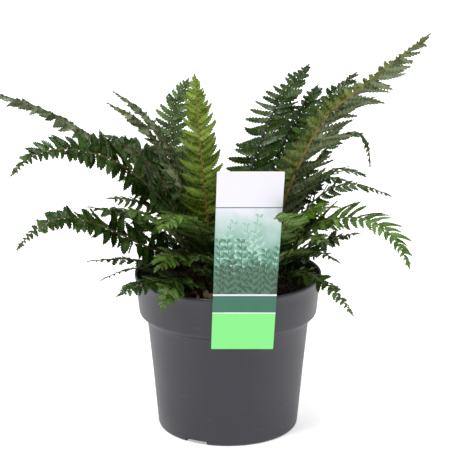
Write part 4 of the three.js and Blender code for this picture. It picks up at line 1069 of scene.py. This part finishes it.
# %% Leathery leaf
def leathery_leaf(name, deep, light, vein, roughness, vein_share):
    """A leathery leaf skin: greens that differ by leaflet and by lobe, light veins, and painted shade at the
    notches and margins
    """
    material, tree, shader = start_material(name, IOR=1.45)
    tint = add_node(tree, "ShaderNodeAttribute", attribute_name="tint")
    parts = add_node(tree, "ShaderNodeSeparateColor", {"Color": tint.outputs["Color"]})
    place = add_node(tree, "ShaderNodeNewGeometry").outputs["Position"]
    map_at = add_node(tree, "ShaderNodeUVMap", uv_map="flat")
    split = add_node(tree, "ShaderNodeSeparateXYZ", {"Vector": map_at.outputs[0]})
    # Each lobe has a shade of its own, from its number, its side and its leaflet
    lobe = add_node(tree, "ShaderNodeMath", {0: split.outputs["X"]}, operation="FLOOR")
    side = add_node(tree, "ShaderNodeMath", {0: split.outputs["Y"]}, operation="SIGN")
    key = add_node(tree, "ShaderNodeCombineXYZ", {
        "X": lobe.outputs[0], "Y": side.outputs[0], "Z": parts.outputs["Red"]})
    own = add_node(tree, "ShaderNodeTexWhiteNoise", {"Vector": key.outputs[0]}, noise_dimensions="3D")
    blotch = add_node(tree, "ShaderNodeTexNoise", {"Vector": place, "Scale": 140.0, "Detail": 3.0})
    # How light a spot is adds up from its lobe, its leaflet, small blotches and its place on the frond,
    # because the blade turns lighter towards the frond's tip
    share = -0.45
    for value, weight in ((own.outputs["Value"], 0.45), (parts.outputs["Red"], 0.6),
                          (blotch.outputs["Fac"], 0.4), (parts.outputs["Blue"], 0.5)):
        share = add_node(tree, "ShaderNodeMath", {0: value, 1: weight, 2: share},
                         operation="MULTIPLY_ADD").outputs[0]
    base = add_node(tree, "ShaderNodeMix", {0: share, 6: linear(deep), 7: linear(light)}, data_type="RGBA")
    in_lobe = add_node(tree, "ShaderNodeMath", {0: split.outputs["X"]}, operation="FRACT")
    off_vein = add_node(tree, "ShaderNodeMath", {0: in_lobe.outputs[0], 1: 0.5}, operation="SUBTRACT")
    off_vein = add_node(tree, "ShaderNodeMath", {0: off_vein.outputs[0]}, operation="ABSOLUTE")
    lobe_vein = add_node(tree, "ShaderNodeMapRange", {
        "Value": off_vein.outputs[0], "From Min": 0.03, "From Max": 0.14, "To Min": 1.0, "To Max": 0.0})
    off_rib = add_node(tree, "ShaderNodeMath", {0: split.outputs["Y"]}, operation="ABSOLUTE")
    rib = add_node(tree, "ShaderNodeMapRange", {
        "Value": off_rib.outputs[0], "From Min": 0.04, "From Max": 0.14, "To Min": 1.0, "To Max": 0.0})
    veins = add_node(tree, "ShaderNodeMath", {
        0: lobe_vein.outputs[0], 1: rib.outputs[0]}, operation="MAXIMUM")
    drawn = add_node(tree, "ShaderNodeMath", {0: veins.outputs[0], 1: vein_share}, operation="MULTIPLY")
    veined = add_node(tree, "ShaderNodeMix", {
        0: drawn.outputs[0], 6: base.outputs[2], 7: linear(vein)}, data_type="RGBA")
    # Towards a notch each lobe dips under the next, and that shade is painted into its colour
    notch_shade = add_node(tree, "ShaderNodeMapRange", {
        "Value": off_vein.outputs[0], "From Min": 0.3, "From Max": 0.5, "To Max": 0.62})
    outer = add_node(tree, "ShaderNodeMapRange", {
        "Value": off_rib.outputs[0], "From Min": 0.1, "From Max": 0.4})
    shadow = add_node(tree, "ShaderNodeMath", {
        0: notch_shade.outputs[0], 1: outer.outputs[0]}, operation="MULTIPLY")
    # The margin turns down and meets the next leaflet in shade, and that shade is painted into the colour
    # along the edge mark
    margin_shade = add_node(tree, "ShaderNodeMapRange", {
        "Value": parts.outputs["Green"], "From Min": 0.55, "From Max": 1.0, "To Max": 0.6})
    shadow = add_node(tree, "ShaderNodeMath", {
        0: shadow.outputs[0], 1: margin_shade.outputs[0]}, operation="MAXIMUM")
    # Painted shade: the notches and margins are mixed towards a near-black green
    colour = add_node(tree, "ShaderNodeMix", {
        0: shadow.outputs[0], 6: veined.outputs[2], 7: linear("#0a1204")}, data_type="RGBA")
    tree.links.new(colour.outputs[2], shader.inputs["Base Color"])
    gloss = add_node(tree, "ShaderNodeMapRange", {
        "Value": blotch.outputs["Fac"], "From Min": 0.3, "From Max": 0.7,
        "To Min": roughness - 0.1, "To Max": roughness + 0.12})
    tree.links.new(gloss.outputs[0], shader.inputs["Roughness"])
    # The darkest leaflets are old and dull, and the lobes that are lightest shine most
    shine = add_node(tree, "ShaderNodeMapRange", {
        "Value": share, "From Min": 0.25, "From Max": 0.85, "To Min": 0.04, "To Max": 0.5})
    tree.links.new(shine.outputs[0], shader.inputs["Specular IOR Level"])
    # Leaf grain is some 0.3 mm across and is drawn at 0.8 mm so that it shows
    grain = add_node(tree, "ShaderNodeTexNoise", {"Vector": place, "Scale": 1200.0, "Detail": 2.0})
    height = add_node(tree, "ShaderNodeMath", {0: veins.outputs[0], 1: 1.2, 2: grain.outputs["Fac"]},
                      operation="MULTIPLY_ADD")
    relief = add_node(tree, "ShaderNodeBump", {
        "Height": height.outputs[0], "Strength": 0.35, "Distance": 0.0004})
    tree.links.new(relief.outputs[0], shader.inputs["Normal"])
    return material


# %% [markdown]
# A fern stalk is brown or nearly black at its foot and greener towards its tip, and dark streaks run
# along it. Its scales are dry and papery, so they are rough and hardly shine. Each takes its colour
# from its own tint, between chestnut and tawny, which makes the stalk look furry.


# %% Stalk and scale materials
def scaly_stalk(name, foot, tip):
    """A fern stalk: brown at its foot and greener towards its tip, with darker streaks along it"""
    material, tree, shader = start_material(name, Roughness=0.55, IOR=1.45)
    tint = add_node(tree, "ShaderNodeAttribute", attribute_name="tint")
    parts = add_node(tree, "ShaderNodeSeparateColor", {"Color": tint.outputs["Color"]})
    place = add_node(tree, "ShaderNodeNewGeometry").outputs["Position"]
    streaks = add_node(tree, "ShaderNodeTexNoise", {"Vector": place, "Scale": 300.0, "Detail": 4.0})
    base = add_node(tree, "ShaderNodeMix", {
        0: parts.outputs["Blue"], 6: linear(foot), 7: linear(tip)}, data_type="RGBA")
    dark = add_node(tree, "ShaderNodeMapRange", {
        "Value": streaks.outputs["Fac"], "From Min": 0.45, "From Max": 0.75, "To Max": 0.5})
    colour = add_node(tree, "ShaderNodeMix", {
        0: dark.outputs[0], 6: base.outputs[2], 7: linear("#2a1a0e")}, data_type="RGBA")
    tree.links.new(colour.outputs[2], shader.inputs["Base Color"])
    return material


def papery_scale(name, deep, light):
    """Dry papery scales, tawny to chestnut brown"""
    material, tree, shader = start_material(name, Roughness=0.7, IOR=1.4)
    tint = add_node(tree, "ShaderNodeAttribute", attribute_name="tint")
    parts = add_node(tree, "ShaderNodeSeparateColor", {"Color": tint.outputs["Color"]})
    colour = add_node(tree, "ShaderNodeMix", {
        0: parts.outputs["Red"], 6: linear(deep), 7: linear(light)}, data_type="RGBA")
    tree.links.new(colour.outputs[2], shader.inputs["Base Color"])
    return material


# %% Leaf skins, barks and scales
LEAF_SKINS = {
    "dark": (leathery_leaf("glossy dark upper leaf skin", "#060d02", "#375818", "#5d7236", 0.24, 0.16),
             leathery_leaf("dull grey-green leaf underside", "#131f06", "#4e6a2c", "#6c8050", 0.56, 0.2)),
    "cool": (leathery_leaf("cool green upper leaf skin", "#12240a", "#587a3a", "#7f9868", 0.34, 0.2),
             leathery_leaf("cool green leaf underside", "#202f14", "#647e50", "#829672", 0.5, 0.2)),
    "grey": (leathery_leaf("greyed upper leaf skin", "#1c240d", "#707e54", "#949e76", 0.42, 0.16),
             leathery_leaf("greyed leaf underside", "#2c3719", "#727e58", "#8c9672", 0.6, 0.2)),
    "fresh": (leathery_leaf("fresh green upper leaf skin", "#0c1a03", "#527524", "#71893c", 0.34, 0.2),
              leathery_leaf("fresh green leaf underside", "#1e2e0b", "#63793c", "#83955a", 0.56, 0.2)),
    "bright": (leathery_leaf("young bright upper leaf skin", "#102006", "#5f8a28", "#85a04c", 0.36, 0.2),
               leathery_leaf("young pale leaf underside", "#283c10", "#6a8c3c", "#8fa264", 0.58, 0.2)),
    "pale": (leathery_leaf("yellow-green upper leaf skin", "#1f3003", "#7a9a22", "#93a54a", 0.4, 0.2),
             leathery_leaf("yellow-green leaf underside", "#2a3c07", "#84a034", "#a0ac52", 0.55, 0.2)),
    "olive": (leathery_leaf("olive upper leaf skin", "#141d07", "#52622a", "#6e7a44", 0.42, 0.16),
              leathery_leaf("olive leaf underside", "#202b09", "#75853c", "#8c9454", 0.55, 0.16)),
}
BARKS = {
    "brown": scaly_stalk("brown fern stalk", "#2c1f10", "#5a5630"),
    "black": scaly_stalk("nearly black fern stalk", "#0e0908", "#1c1412"),
    "green": scaly_stalk("green fern stalk", "#3c4218", "#5c7a2c"),
    "tawny": scaly_stalk("tawny fern stalk", "#86602a", "#84783a"),
}
STALK_SCALES = papery_scale("chestnut stalk scales", "#33200e", "#684622")
TAWNY_STALK_SCALES = papery_scale("tawny stalk scales", "#6e4e24", "#a07c40")
print("leaf skins:", 2 * len(LEAF_SKINS), "barks:", len(BARKS))

# %% Grow all the fronds
FIRST_SEED = 100
TAWNY_SCALES = 260
BROWN_SCALES = 140

for number, frond in enumerate(FRONDS):
    tawny = frond["tone"] in ("pale", "olive")
    skins = LEAF_SKINS[frond.get("skin", frond["tone"])]
    bark = BARKS["tawny" if tawny else frond.get("bark", "brown")]
    scales = TAWNY_STALK_SCALES if tawny else STALK_SCALES
    others = LEAF_SKINS[frond["other_tone"]] if "other_tone" in frond else ()
    scale_count = TAWNY_SCALES if tawny else BROWN_SCALES
    leafy = grow_frond(frond, FIRST_SEED + number, [*skins, bark, scales, *others], scale_count)
    slot = "leaf_pale" if tawny else "leaf_" + frond["tone"].replace("fresh", "bright")
    hand_over(leafy, slot, frond["name"])

# %% [markdown]
# ## The crown
# The fronds grow from a short upright rootstock. What shows of it is a mound of old stalk bases, cut
# or broken off over the years, packed round with the same papery scales. It is built in that way: a
# rough mound, short splayed stubs and hundreds of flakes.

# %% The crown's mound
STUBS = 90
CROWN_FLAKES = 1500


def mound_height(radius):
    """The height of the crown's mound at a distance from its middle"""
    return SOIL_Z - 0.5 + CROWN_HEIGHT * (1 - (radius / CROWN_RADIUS) ** 3) * 0.86


def mound_part():
    """The rough mound under the stubs"""
    rings = [(r, mound_height(r)) for r in np.linspace(CROWN_RADIUS - 0.5, 0.01, 22)]
    mound = turned_part([(0.01, SOIL_Z - BOWL_DEPTH + GAP), (CROWN_RADIUS - 2.4, SOIL_Z - BOWL_DEPTH + GAP),
                         *rings], 64)
    x, y, z = mound["points"].T
    knobs = 0.9 * np.sin(x / 2.3 + 1) * np.cos(y / 2.7) + 0.6 * np.sin(x / 1.2) * np.sin(y / 1.4)
    mound["points"][:, 2] = np.where(z > SOIL_Z, z + knobs, z)
    return mound


# %% Old stalk bases
def stub_part(x, y, rng):
    """One old stalk base: a short six-sided stump that splays away from the middle"""
    sides = 6
    thick, tall = rng.uniform(1.4, 2.4), rng.uniform(3, 8)
    radius = math.hypot(x, y)
    lean = np.array([x, y, 0]) / CROWN_RADIUS * rng.uniform(0.5, 1.1)
    foot = np.array([x, y, mound_height(radius) - 2])
    axis = unit(np.array([0, 0, 1]) + lean)
    side = unit(np.cross(axis, [0.3, 1, 0.1]))
    other = np.cross(axis, side)
    turns = np.linspace(0, 2 * math.pi, sides, endpoint=False) + rng.uniform(0, 1)
    points = []
    for level, share in ((0, 1.15), (0.6, 1.0), (1, 0.72)):
        for turn in turns:
            out = side * math.cos(turn) + other * math.sin(turn)
            points.append(foot + axis * (level * tall) + out * thick * share * rng.uniform(0.85, 1.1))
    points.append(foot + axis * tall * 0.92)
    triangles = tube_faces(3, sides)
    triangles += [(2 * sides + n, 2 * sides + (n + 1) % sides, 3 * sides) for n in range(sides)]
    tint = np.repeat(rng.random((1, 3)), len(points), axis=0)
    return part_of(points, triangles, 0, tint=tint)


# %% Scales and fibre of the crown
def crown_flakes(count, rng, material):
    """Papery scales that stand up out of the crown"""
    flakes = []
    for _ in range(count):
        radius = CROWN_RADIUS * math.sqrt(rng.random()) * 0.97
        turn = rng.uniform(0, 2 * math.pi)
        root = np.array([radius * math.cos(turn), radius * math.sin(turn), mound_height(radius) - 0.3])
        out = np.array([math.cos(turn), math.sin(turn), 0])
        lean = unit(np.array([0, 0, 1]) + out * rng.uniform(0, 1.4) + rng.normal(0, 0.5, 3))
        edge = unit(np.cross(lean, rng.normal(0, 1, 3)))
        long, broad = rng.uniform(3, 8), rng.uniform(0.4, 0.9)
        flakes.append(flake(root, lean, edge, out * 0.2, long, broad, 0.6))
    return flakes_part(flakes, rng, material)


def old_stalk_fibre():
    """Old fern stalk bases: hard, fibrous and dark brown"""
    return mottled("old fern stalk fibre", "#1d120a", "#5a3a20", 420.0, 5.0, 0.6, 1.0,
                   Roughness=0.85, IOR=1.45)


# %% Make the crown
crown_rng = np.random.default_rng(23)
crown_parts = [mound_part()]
for _ in range(STUBS):
    stub_radius = (CROWN_RADIUS - 4) * math.sqrt(crown_rng.random())
    stub_turn = crown_rng.uniform(0, 2 * math.pi)
    stub_x, stub_y = stub_radius * math.cos(stub_turn), stub_radius * math.sin(stub_turn)
    crown_parts.append(stub_part(stub_x, stub_y, crown_rng))
crown_parts.append(crown_flakes(CROWN_FLAKES, crown_rng, 1))
hand_over(mesh_from_parts("scaly_crown", crown_parts, [old_stalk_fibre(), STALK_SCALES]), "crown", "crown")

# %% [markdown]
# ## The plant label
# The label is a card of printed plastic, less than a millimetre thick, held by a tongue that goes over
# the rim into the soil. Its print is in bands: white, a picture, dark green and light green. The
# bands are cut into the card's own faces, so each has crisp edges at any distance, and the picture is
# a plain design of sprigs with oval leaves on a faded ground. It carries no words.

# %% Label sizes
TONGUE_WIDTH = 12
TONGUE_X = 16
TONGUE_INNER_Y = -84.8
TONGUE_TIP_Z = 126
CORNER_RADIUS = 1.0
PICTURE_FOOT_Z = 168.8
PICTURE_TOP_Z = 254.4
# The heights at which the print changes, from the foot up, and the ink of each band
PRINT_BANDS = [
    (LABEL_FOOT_Z, 149.3, "lime"), (149.3, 150.3, "white"), (150.3, 167, "fir"),
    (167, PICTURE_FOOT_Z, "white"), (PICTURE_FOOT_Z, PICTURE_TOP_Z, "picture"),
    (PICTURE_TOP_Z, 255.4, "slate"), (255.4, LABEL_TOP_Z, "white"),
]
# Steps in from the card's top and foot that draw its round corners
CORNER_STEPS = (0.15, 0.6, 1.2, 2)
# Three rows of printed sprigs, from the far pale one to the near deep one: for each, how many there
# are, how tall they are as a share of the picture, how many pairs of leaves they have and their inks
SPRIG_ROWS = [
    {"count": 7, "tall": 0.86, "pairs": 9, "long": 0.13, "inks": ("mist stem", "mist light", "mist deep")},
    {"count": 7, "tall": 0.6, "pairs": 7, "long": 0.15, "inks": ("stem", "leaf light", "leaf deep")},
    {"count": 8, "tall": 0.34, "pairs": 4, "long": 0.17, "inks": ("shade stem", "shade light", "shade deep")},
]


# %% Label materials
def printed_plastic(name, colour):
    """White plastic card under a glossy ink: even colour, a smooth clear surface"""
    material, tree, shader = start_material(name, Roughness=0.32, IOR=1.5)
    place = add_node(tree, "ShaderNodeNewGeometry").outputs["Position"]
    wave = add_node(tree, "ShaderNodeTexNoise", {"Vector": place, "Scale": 60.0, "Detail": 2.0})
    shade = add_node(tree, "ShaderNodeMapRange", {
        "Value": wave.outputs["Fac"], "To Min": 0.0, "To Max": 0.05})
    tone = add_node(tree, "ShaderNodeMix", {
        0: shade.outputs[0], 6: linear(colour), 7: linear("#a9adb4")}, data_type="RGBA")
    tree.links.new(tone.outputs[2], shader.inputs["Base Color"])
    relief = add_node(tree, "ShaderNodeBump", {
        "Height": wave.outputs["Fac"], "Strength": 0.05, "Distance": 0.002})
    tree.links.new(relief.outputs[0], shader.inputs["Normal"])
    return material


def printed_ground():
    """The picture's ground: a misty grey that turns to deep green towards the foot"""
    material, tree, shader = start_material("printed misty ground", Roughness=0.32, IOR=1.5)
    place = add_node(tree, "ShaderNodeNewGeometry").outputs["Position"]
    height = add_node(tree, "ShaderNodeSeparateXYZ", {"Vector": place}).outputs["Z"]
    blur = add_node(tree, "ShaderNodeTexNoise", {"Vector": place, "Scale": 70.0, "Detail": 3.0})
    drift = add_node(tree, "ShaderNodeMath", {0: blur.outputs["Fac"], 1: 0.03, 2: height},
                     operation="MULTIPLY_ADD")
    level = add_node(tree, "ShaderNodeMapRange", {
        "Value": drift.outputs[0], "From Min": 0.185, "From Max": 0.27})
    ramp = add_node(tree, "ShaderNodeValToRGB", {"Fac": level.outputs[0]})
    ramp.color_ramp.elements[0].color = linear("#1a3226")
    ramp.color_ramp.elements[1].color = linear("#d3d6de")
    for at, colour in ((0.35, "#3f6b58"), (0.68, "#94b5aa")):
        ramp.color_ramp.elements.new(at).color = linear(colour)
    tree.links.new(ramp.outputs["Color"], shader.inputs["Base Color"])
    return material


# %% The card
def card_point(u, z, y):
    """A point of the card from a share of its width and a height"""
    rise = (z - LABEL_FOOT_Z) / (LABEL_TOP_Z - LABEL_FOOT_Z)
    middle = LABEL_FOOT_X + (LABEL_TOP_X - LABEL_FOOT_X) * rise
    width = LABEL_FOOT_WIDTH + (LABEL_TOP_WIDTH - LABEL_FOOT_WIDTH) * rise
    # The card bows by half a millimetre, across its width and along its height
    bow = 0.5 * (4 * (u - 0.5) ** 2 - 0.4) + 0.7 * (rise - 0.5) ** 2
    return (middle + (u - 0.5) * width, y - bow * 0.5, z)


def card_inset(z):
    """How far the card's side edges are drawn in by its small round corners at a height"""
    near = min(z - LABEL_FOOT_Z, LABEL_TOP_Z - z)
    if near > CORNER_RADIUS:
        return 0
    return CORNER_RADIUS - math.sqrt(CORNER_RADIUS ** 2 - (CORNER_RADIUS - near) ** 2)


def card_parts(inks):
    """The card's front in printed bands, its plain back and its edges"""
    heights = {z for low, high, _ in PRINT_BANDS for z in (low, high)}
    heights |= {LABEL_FOOT_Z + step for step in CORNER_STEPS}
    heights |= {LABEL_TOP_Z - step for step in CORNER_STEPS}
    heights |= set(np.arange(118, 288, 6.0))
    heights = sorted(heights)
    shares = np.linspace(0, 1, 13)
    count = len(shares)
    front_y, back_y = LABEL_BACK_Y - LABEL_THICKNESS, LABEL_BACK_Y
    parts = []
    rows = {}
    for side, y in (("front", front_y), ("back", back_y)):
        for z in heights:
            inset = card_inset(z) / LABEL_TOP_WIDTH
            rows[side, z] = [card_point(inset + (1 - 2 * inset) * u, z, y) for u in shares]
    for low, high in zip(heights, heights[1:]):
        ink = next(name for start, end, name in PRINT_BANDS if start <= (low + high) / 2 <= end)
        points = rows["front", low] + rows["front", high]
        faces = []
        for n in range(count - 1):
            faces += [(n, n + 1, n + 1 + count), (n, n + 1 + count, n + count)]
        parts.append(part_of(points, faces, inks.index(ink)))
        points = rows["back", low] + rows["back", high]
        parts.append(part_of(points, [(a, c, b) for a, b, c in faces], inks.index("white")))
        for n in (0, count - 1):
            edge = [rows[key][n] for key in (("front", low), ("back", low), ("back", high), ("front", high))]
            edge_faces = [(0, 2, 1), (0, 3, 2)] if n == 0 else [(0, 1, 2), (0, 2, 3)]
            parts.append(part_of(edge, edge_faces, inks.index("white")))
    for z in (heights[0], heights[-1]):
        faces = []
        for n in range(count - 1):
            faces += [(n, n + count, n + 1), (n + 1, n + count, n + 1 + count)]
        if z == heights[-1]:
            faces = [(a, c, b) for a, b, c in faces]
        parts.append(part_of(rows["front", z] + rows["back", z], faces, inks.index("white")))
    return parts


# %% [markdown]
# Print lies flat on the card, so the sprigs are thin flat shapes a few hundredths of a millimetre in
# front of it, each row a little ahead of the last one. Shapes give leaves with clean edges and two
# halves, which a pattern of nodes would blur.


# %% Printed sprigs
def print_shape(outline, ink, lift):
    """A flat printed shape on the card's front, from its outline in shares of the picture"""
    low, high = PICTURE_FOOT_Z, PICTURE_TOP_Z
    y = LABEL_BACK_Y - LABEL_THICKNESS - lift
    points = [card_point(min(max(u, 0.005), 0.995), low + (high - low) * min(max(v, 0.0), 0.995), y)
              for u, v in outline]
    faces = [(0, i, i + 1) for i in range(1, len(points) - 1)]
    return part_of(points, faces, ink)


def sprig_parts(u, heading, height, pairs, long, lift, inks):
    """A printed sprig: a curved stem with pairs of oval leaves, each split in a light and a dark half"""
    parts = []
    stem_ink, light_ink, deep_ink = inks
    slope = math.radians(heading)
    for k in range(pairs + 1):
        share = k / pairs
        bend = slope + math.radians(14) * share * (1 if heading < 90 else -1)
        at_u = u + math.cos(bend) * height * share * 0.9
        at_v = math.sin(bend) * height * share
        stem = [(at_u - 0.006, at_v), (at_u + 0.006, at_v), (at_u + 0.005, at_v + height / pairs),
                (at_u - 0.005, at_v + height / pairs)]
        if k < pairs:
            parts.append(print_shape(stem, stem_ink, lift))
        reach = long * (1.1 - 0.6 * share)
        for hand in (1, -1):
            tip = bend - hand * math.radians(52)
            for half, ink in ((1, light_ink), (-1, deep_ink)):
                rim = []
                for t in np.linspace(0, 1, 7):
                    out = 0.34 * reach * math.sin(math.pi * t) * half
                    rim.append((at_u + math.cos(tip) * reach * 1.2 * t - math.sin(tip) * out,
                                at_v + (math.sin(tip) * reach * t + math.cos(tip) * out) * 0.95))
                rim.append((at_u, at_v))
                parts.append(print_shape(rim if half < 0 else rim[::-1], ink, lift + 0.02))
    return parts


def picture_parts(inks):
    """The printed picture: rows of sprigs, each row in front of the last one"""
    rng = np.random.default_rng(5)
    parts = []
    for number, row in enumerate(SPRIG_ROWS):
        row_inks = [inks.index(name) for name in row["inks"]]
        for n in range(row["count"]):
            u = (n + 0.5 + rng.uniform(-0.25, 0.25)) / row["count"]
            height = row["tall"] * rng.uniform(0.7, 1.05)
            heading = 90 + rng.uniform(-16, 16)
            lift = 0.03 + 0.05 * number
            parts += sprig_parts(u, heading, height, row["pairs"], row["long"], lift, row_inks)
    return parts


# %% The tongue
def tongue_part(ink):
    """The tongue behind the card: over the rim and down into the soil"""
    over = POT_HEIGHT + GAP
    t = LABEL_THICKNESS
    line = [(LABEL_BACK_Y - t / 2, over), (TONGUE_INNER_Y, over), (TONGUE_INNER_Y, TONGUE_TIP_Z),
            (TONGUE_INNER_Y + t, TONGUE_TIP_Z), (TONGUE_INNER_Y + t, over + t * 0.6),
            (TONGUE_INNER_Y + t * 0.5, over + t), (LABEL_BACK_Y - t / 2, over + t)]
    points = [(TONGUE_X + hand * TONGUE_WIDTH / 2, y, z) for hand in (-1, 1) for y, z in line]
    count = len(line)
    faces = tube_faces(2, count)
    for fan in ((2, 3, 4), (1, 2, 4), (1, 4, 5), (0, 1, 5), (0, 5, 6)):
        faces += [tuple(reversed(fan)), tuple(i + count for i in fan)]
    return part_of(points, faces, ink)


# %% Make the label
INK_COLOURS = {
    "white": "#dddbe6", "slate": "#4c6a60", "fir": "#186249", "lime": "#76da76",
    "mist stem": "#7fa696", "mist light": "#a3c6b8", "mist deep": "#86b09f",
    "stem": "#2a5240", "leaf light": "#62977d", "leaf deep": "#3c715a",
    "shade stem": "#152b20", "shade light": "#3f6a4c", "shade deep": "#234634"}
ink_names = [*INK_COLOURS, "picture"]
ink_materials = [printed_plastic("printed plastic " + name, colour) for name, colour in INK_COLOURS.items()]
ink_materials.append(printed_ground())
label_parts = [*card_parts(ink_names), tongue_part(0), *picture_parts(ink_names)]
label = mesh_from_parts("plant_label_card", label_parts, ink_materials)
label.data.set_sharp_from_angle(angle=math.radians(CRISP_ANGLE))
hand_over(label, "label", "plant_label")

# %% [markdown]
# ## Dry leaflets
# A few leaflets have dried and dropped on the soil. They are the same leaflet as on the fronds, but
# straw-coloured, narrower and curled up, so the leaflet pattern is used again with a strong bend.

# %% Dry leaflet sizes and finish
DRY_LEAFLETS = [
    {"name": "dry_leaflet_1", "at": (-20, -57), "size": (24, 10), "turn": 104, "tilt": 66},
    {"name": "dry_leaflet_2", "at": (-28, -64), "size": (18, 8), "turn": 70, "tilt": 46},
    {"name": "dry_leaflet_3", "at": (-13, -66), "size": (18, 8), "turn": 128, "tilt": 44},
]


def dry_leaf():
    """Dry leaf tissue: papery, straw-coloured, browner in blotches of 2 mm"""
    return mottled("dry papery leaf", "#cfa468", "#f8e6ba", 500.0, 4.0, 0.5, 0.6, Roughness=0.8, IOR=1.4)


# %% Make the dry leaflets
CURL = {"lean": 0.2, "sickle": 0.15, "droop": 0.3, "fold": 0.55, "ripple": 0.16, "phase": 1.0, "twist": 0.8}
STRAW = dry_leaf()
for dry in DRY_LEAFLETS:
    turn, tilt = math.radians(dry["turn"]), math.radians(dry["tilt"])
    axis = np.array([math.cos(turn) * math.cos(tilt), math.sin(turn) * math.cos(tilt), math.sin(tilt)])
    across = unit(np.cross([0, 0, 1], axis))
    normal = np.cross(axis, across)
    rise = dry["size"][0] / 2 * math.sin(tilt)
    middle = np.array([*dry["at"], soil_height(*dry["at"]) + rise])
    sheets = leaflet_parts(leaflet_pattern(4, 0.3, 0.3, 1.5), middle - axis * dry["size"][0] / 2,
                           axis, across, normal, dry["size"], CURL, (0.5, 0.5), (0, 0))
    hand_over(mesh_from_parts(dry["name"] + "_papery", sheets, [STRAW]), "dry_leaf", dry["name"])
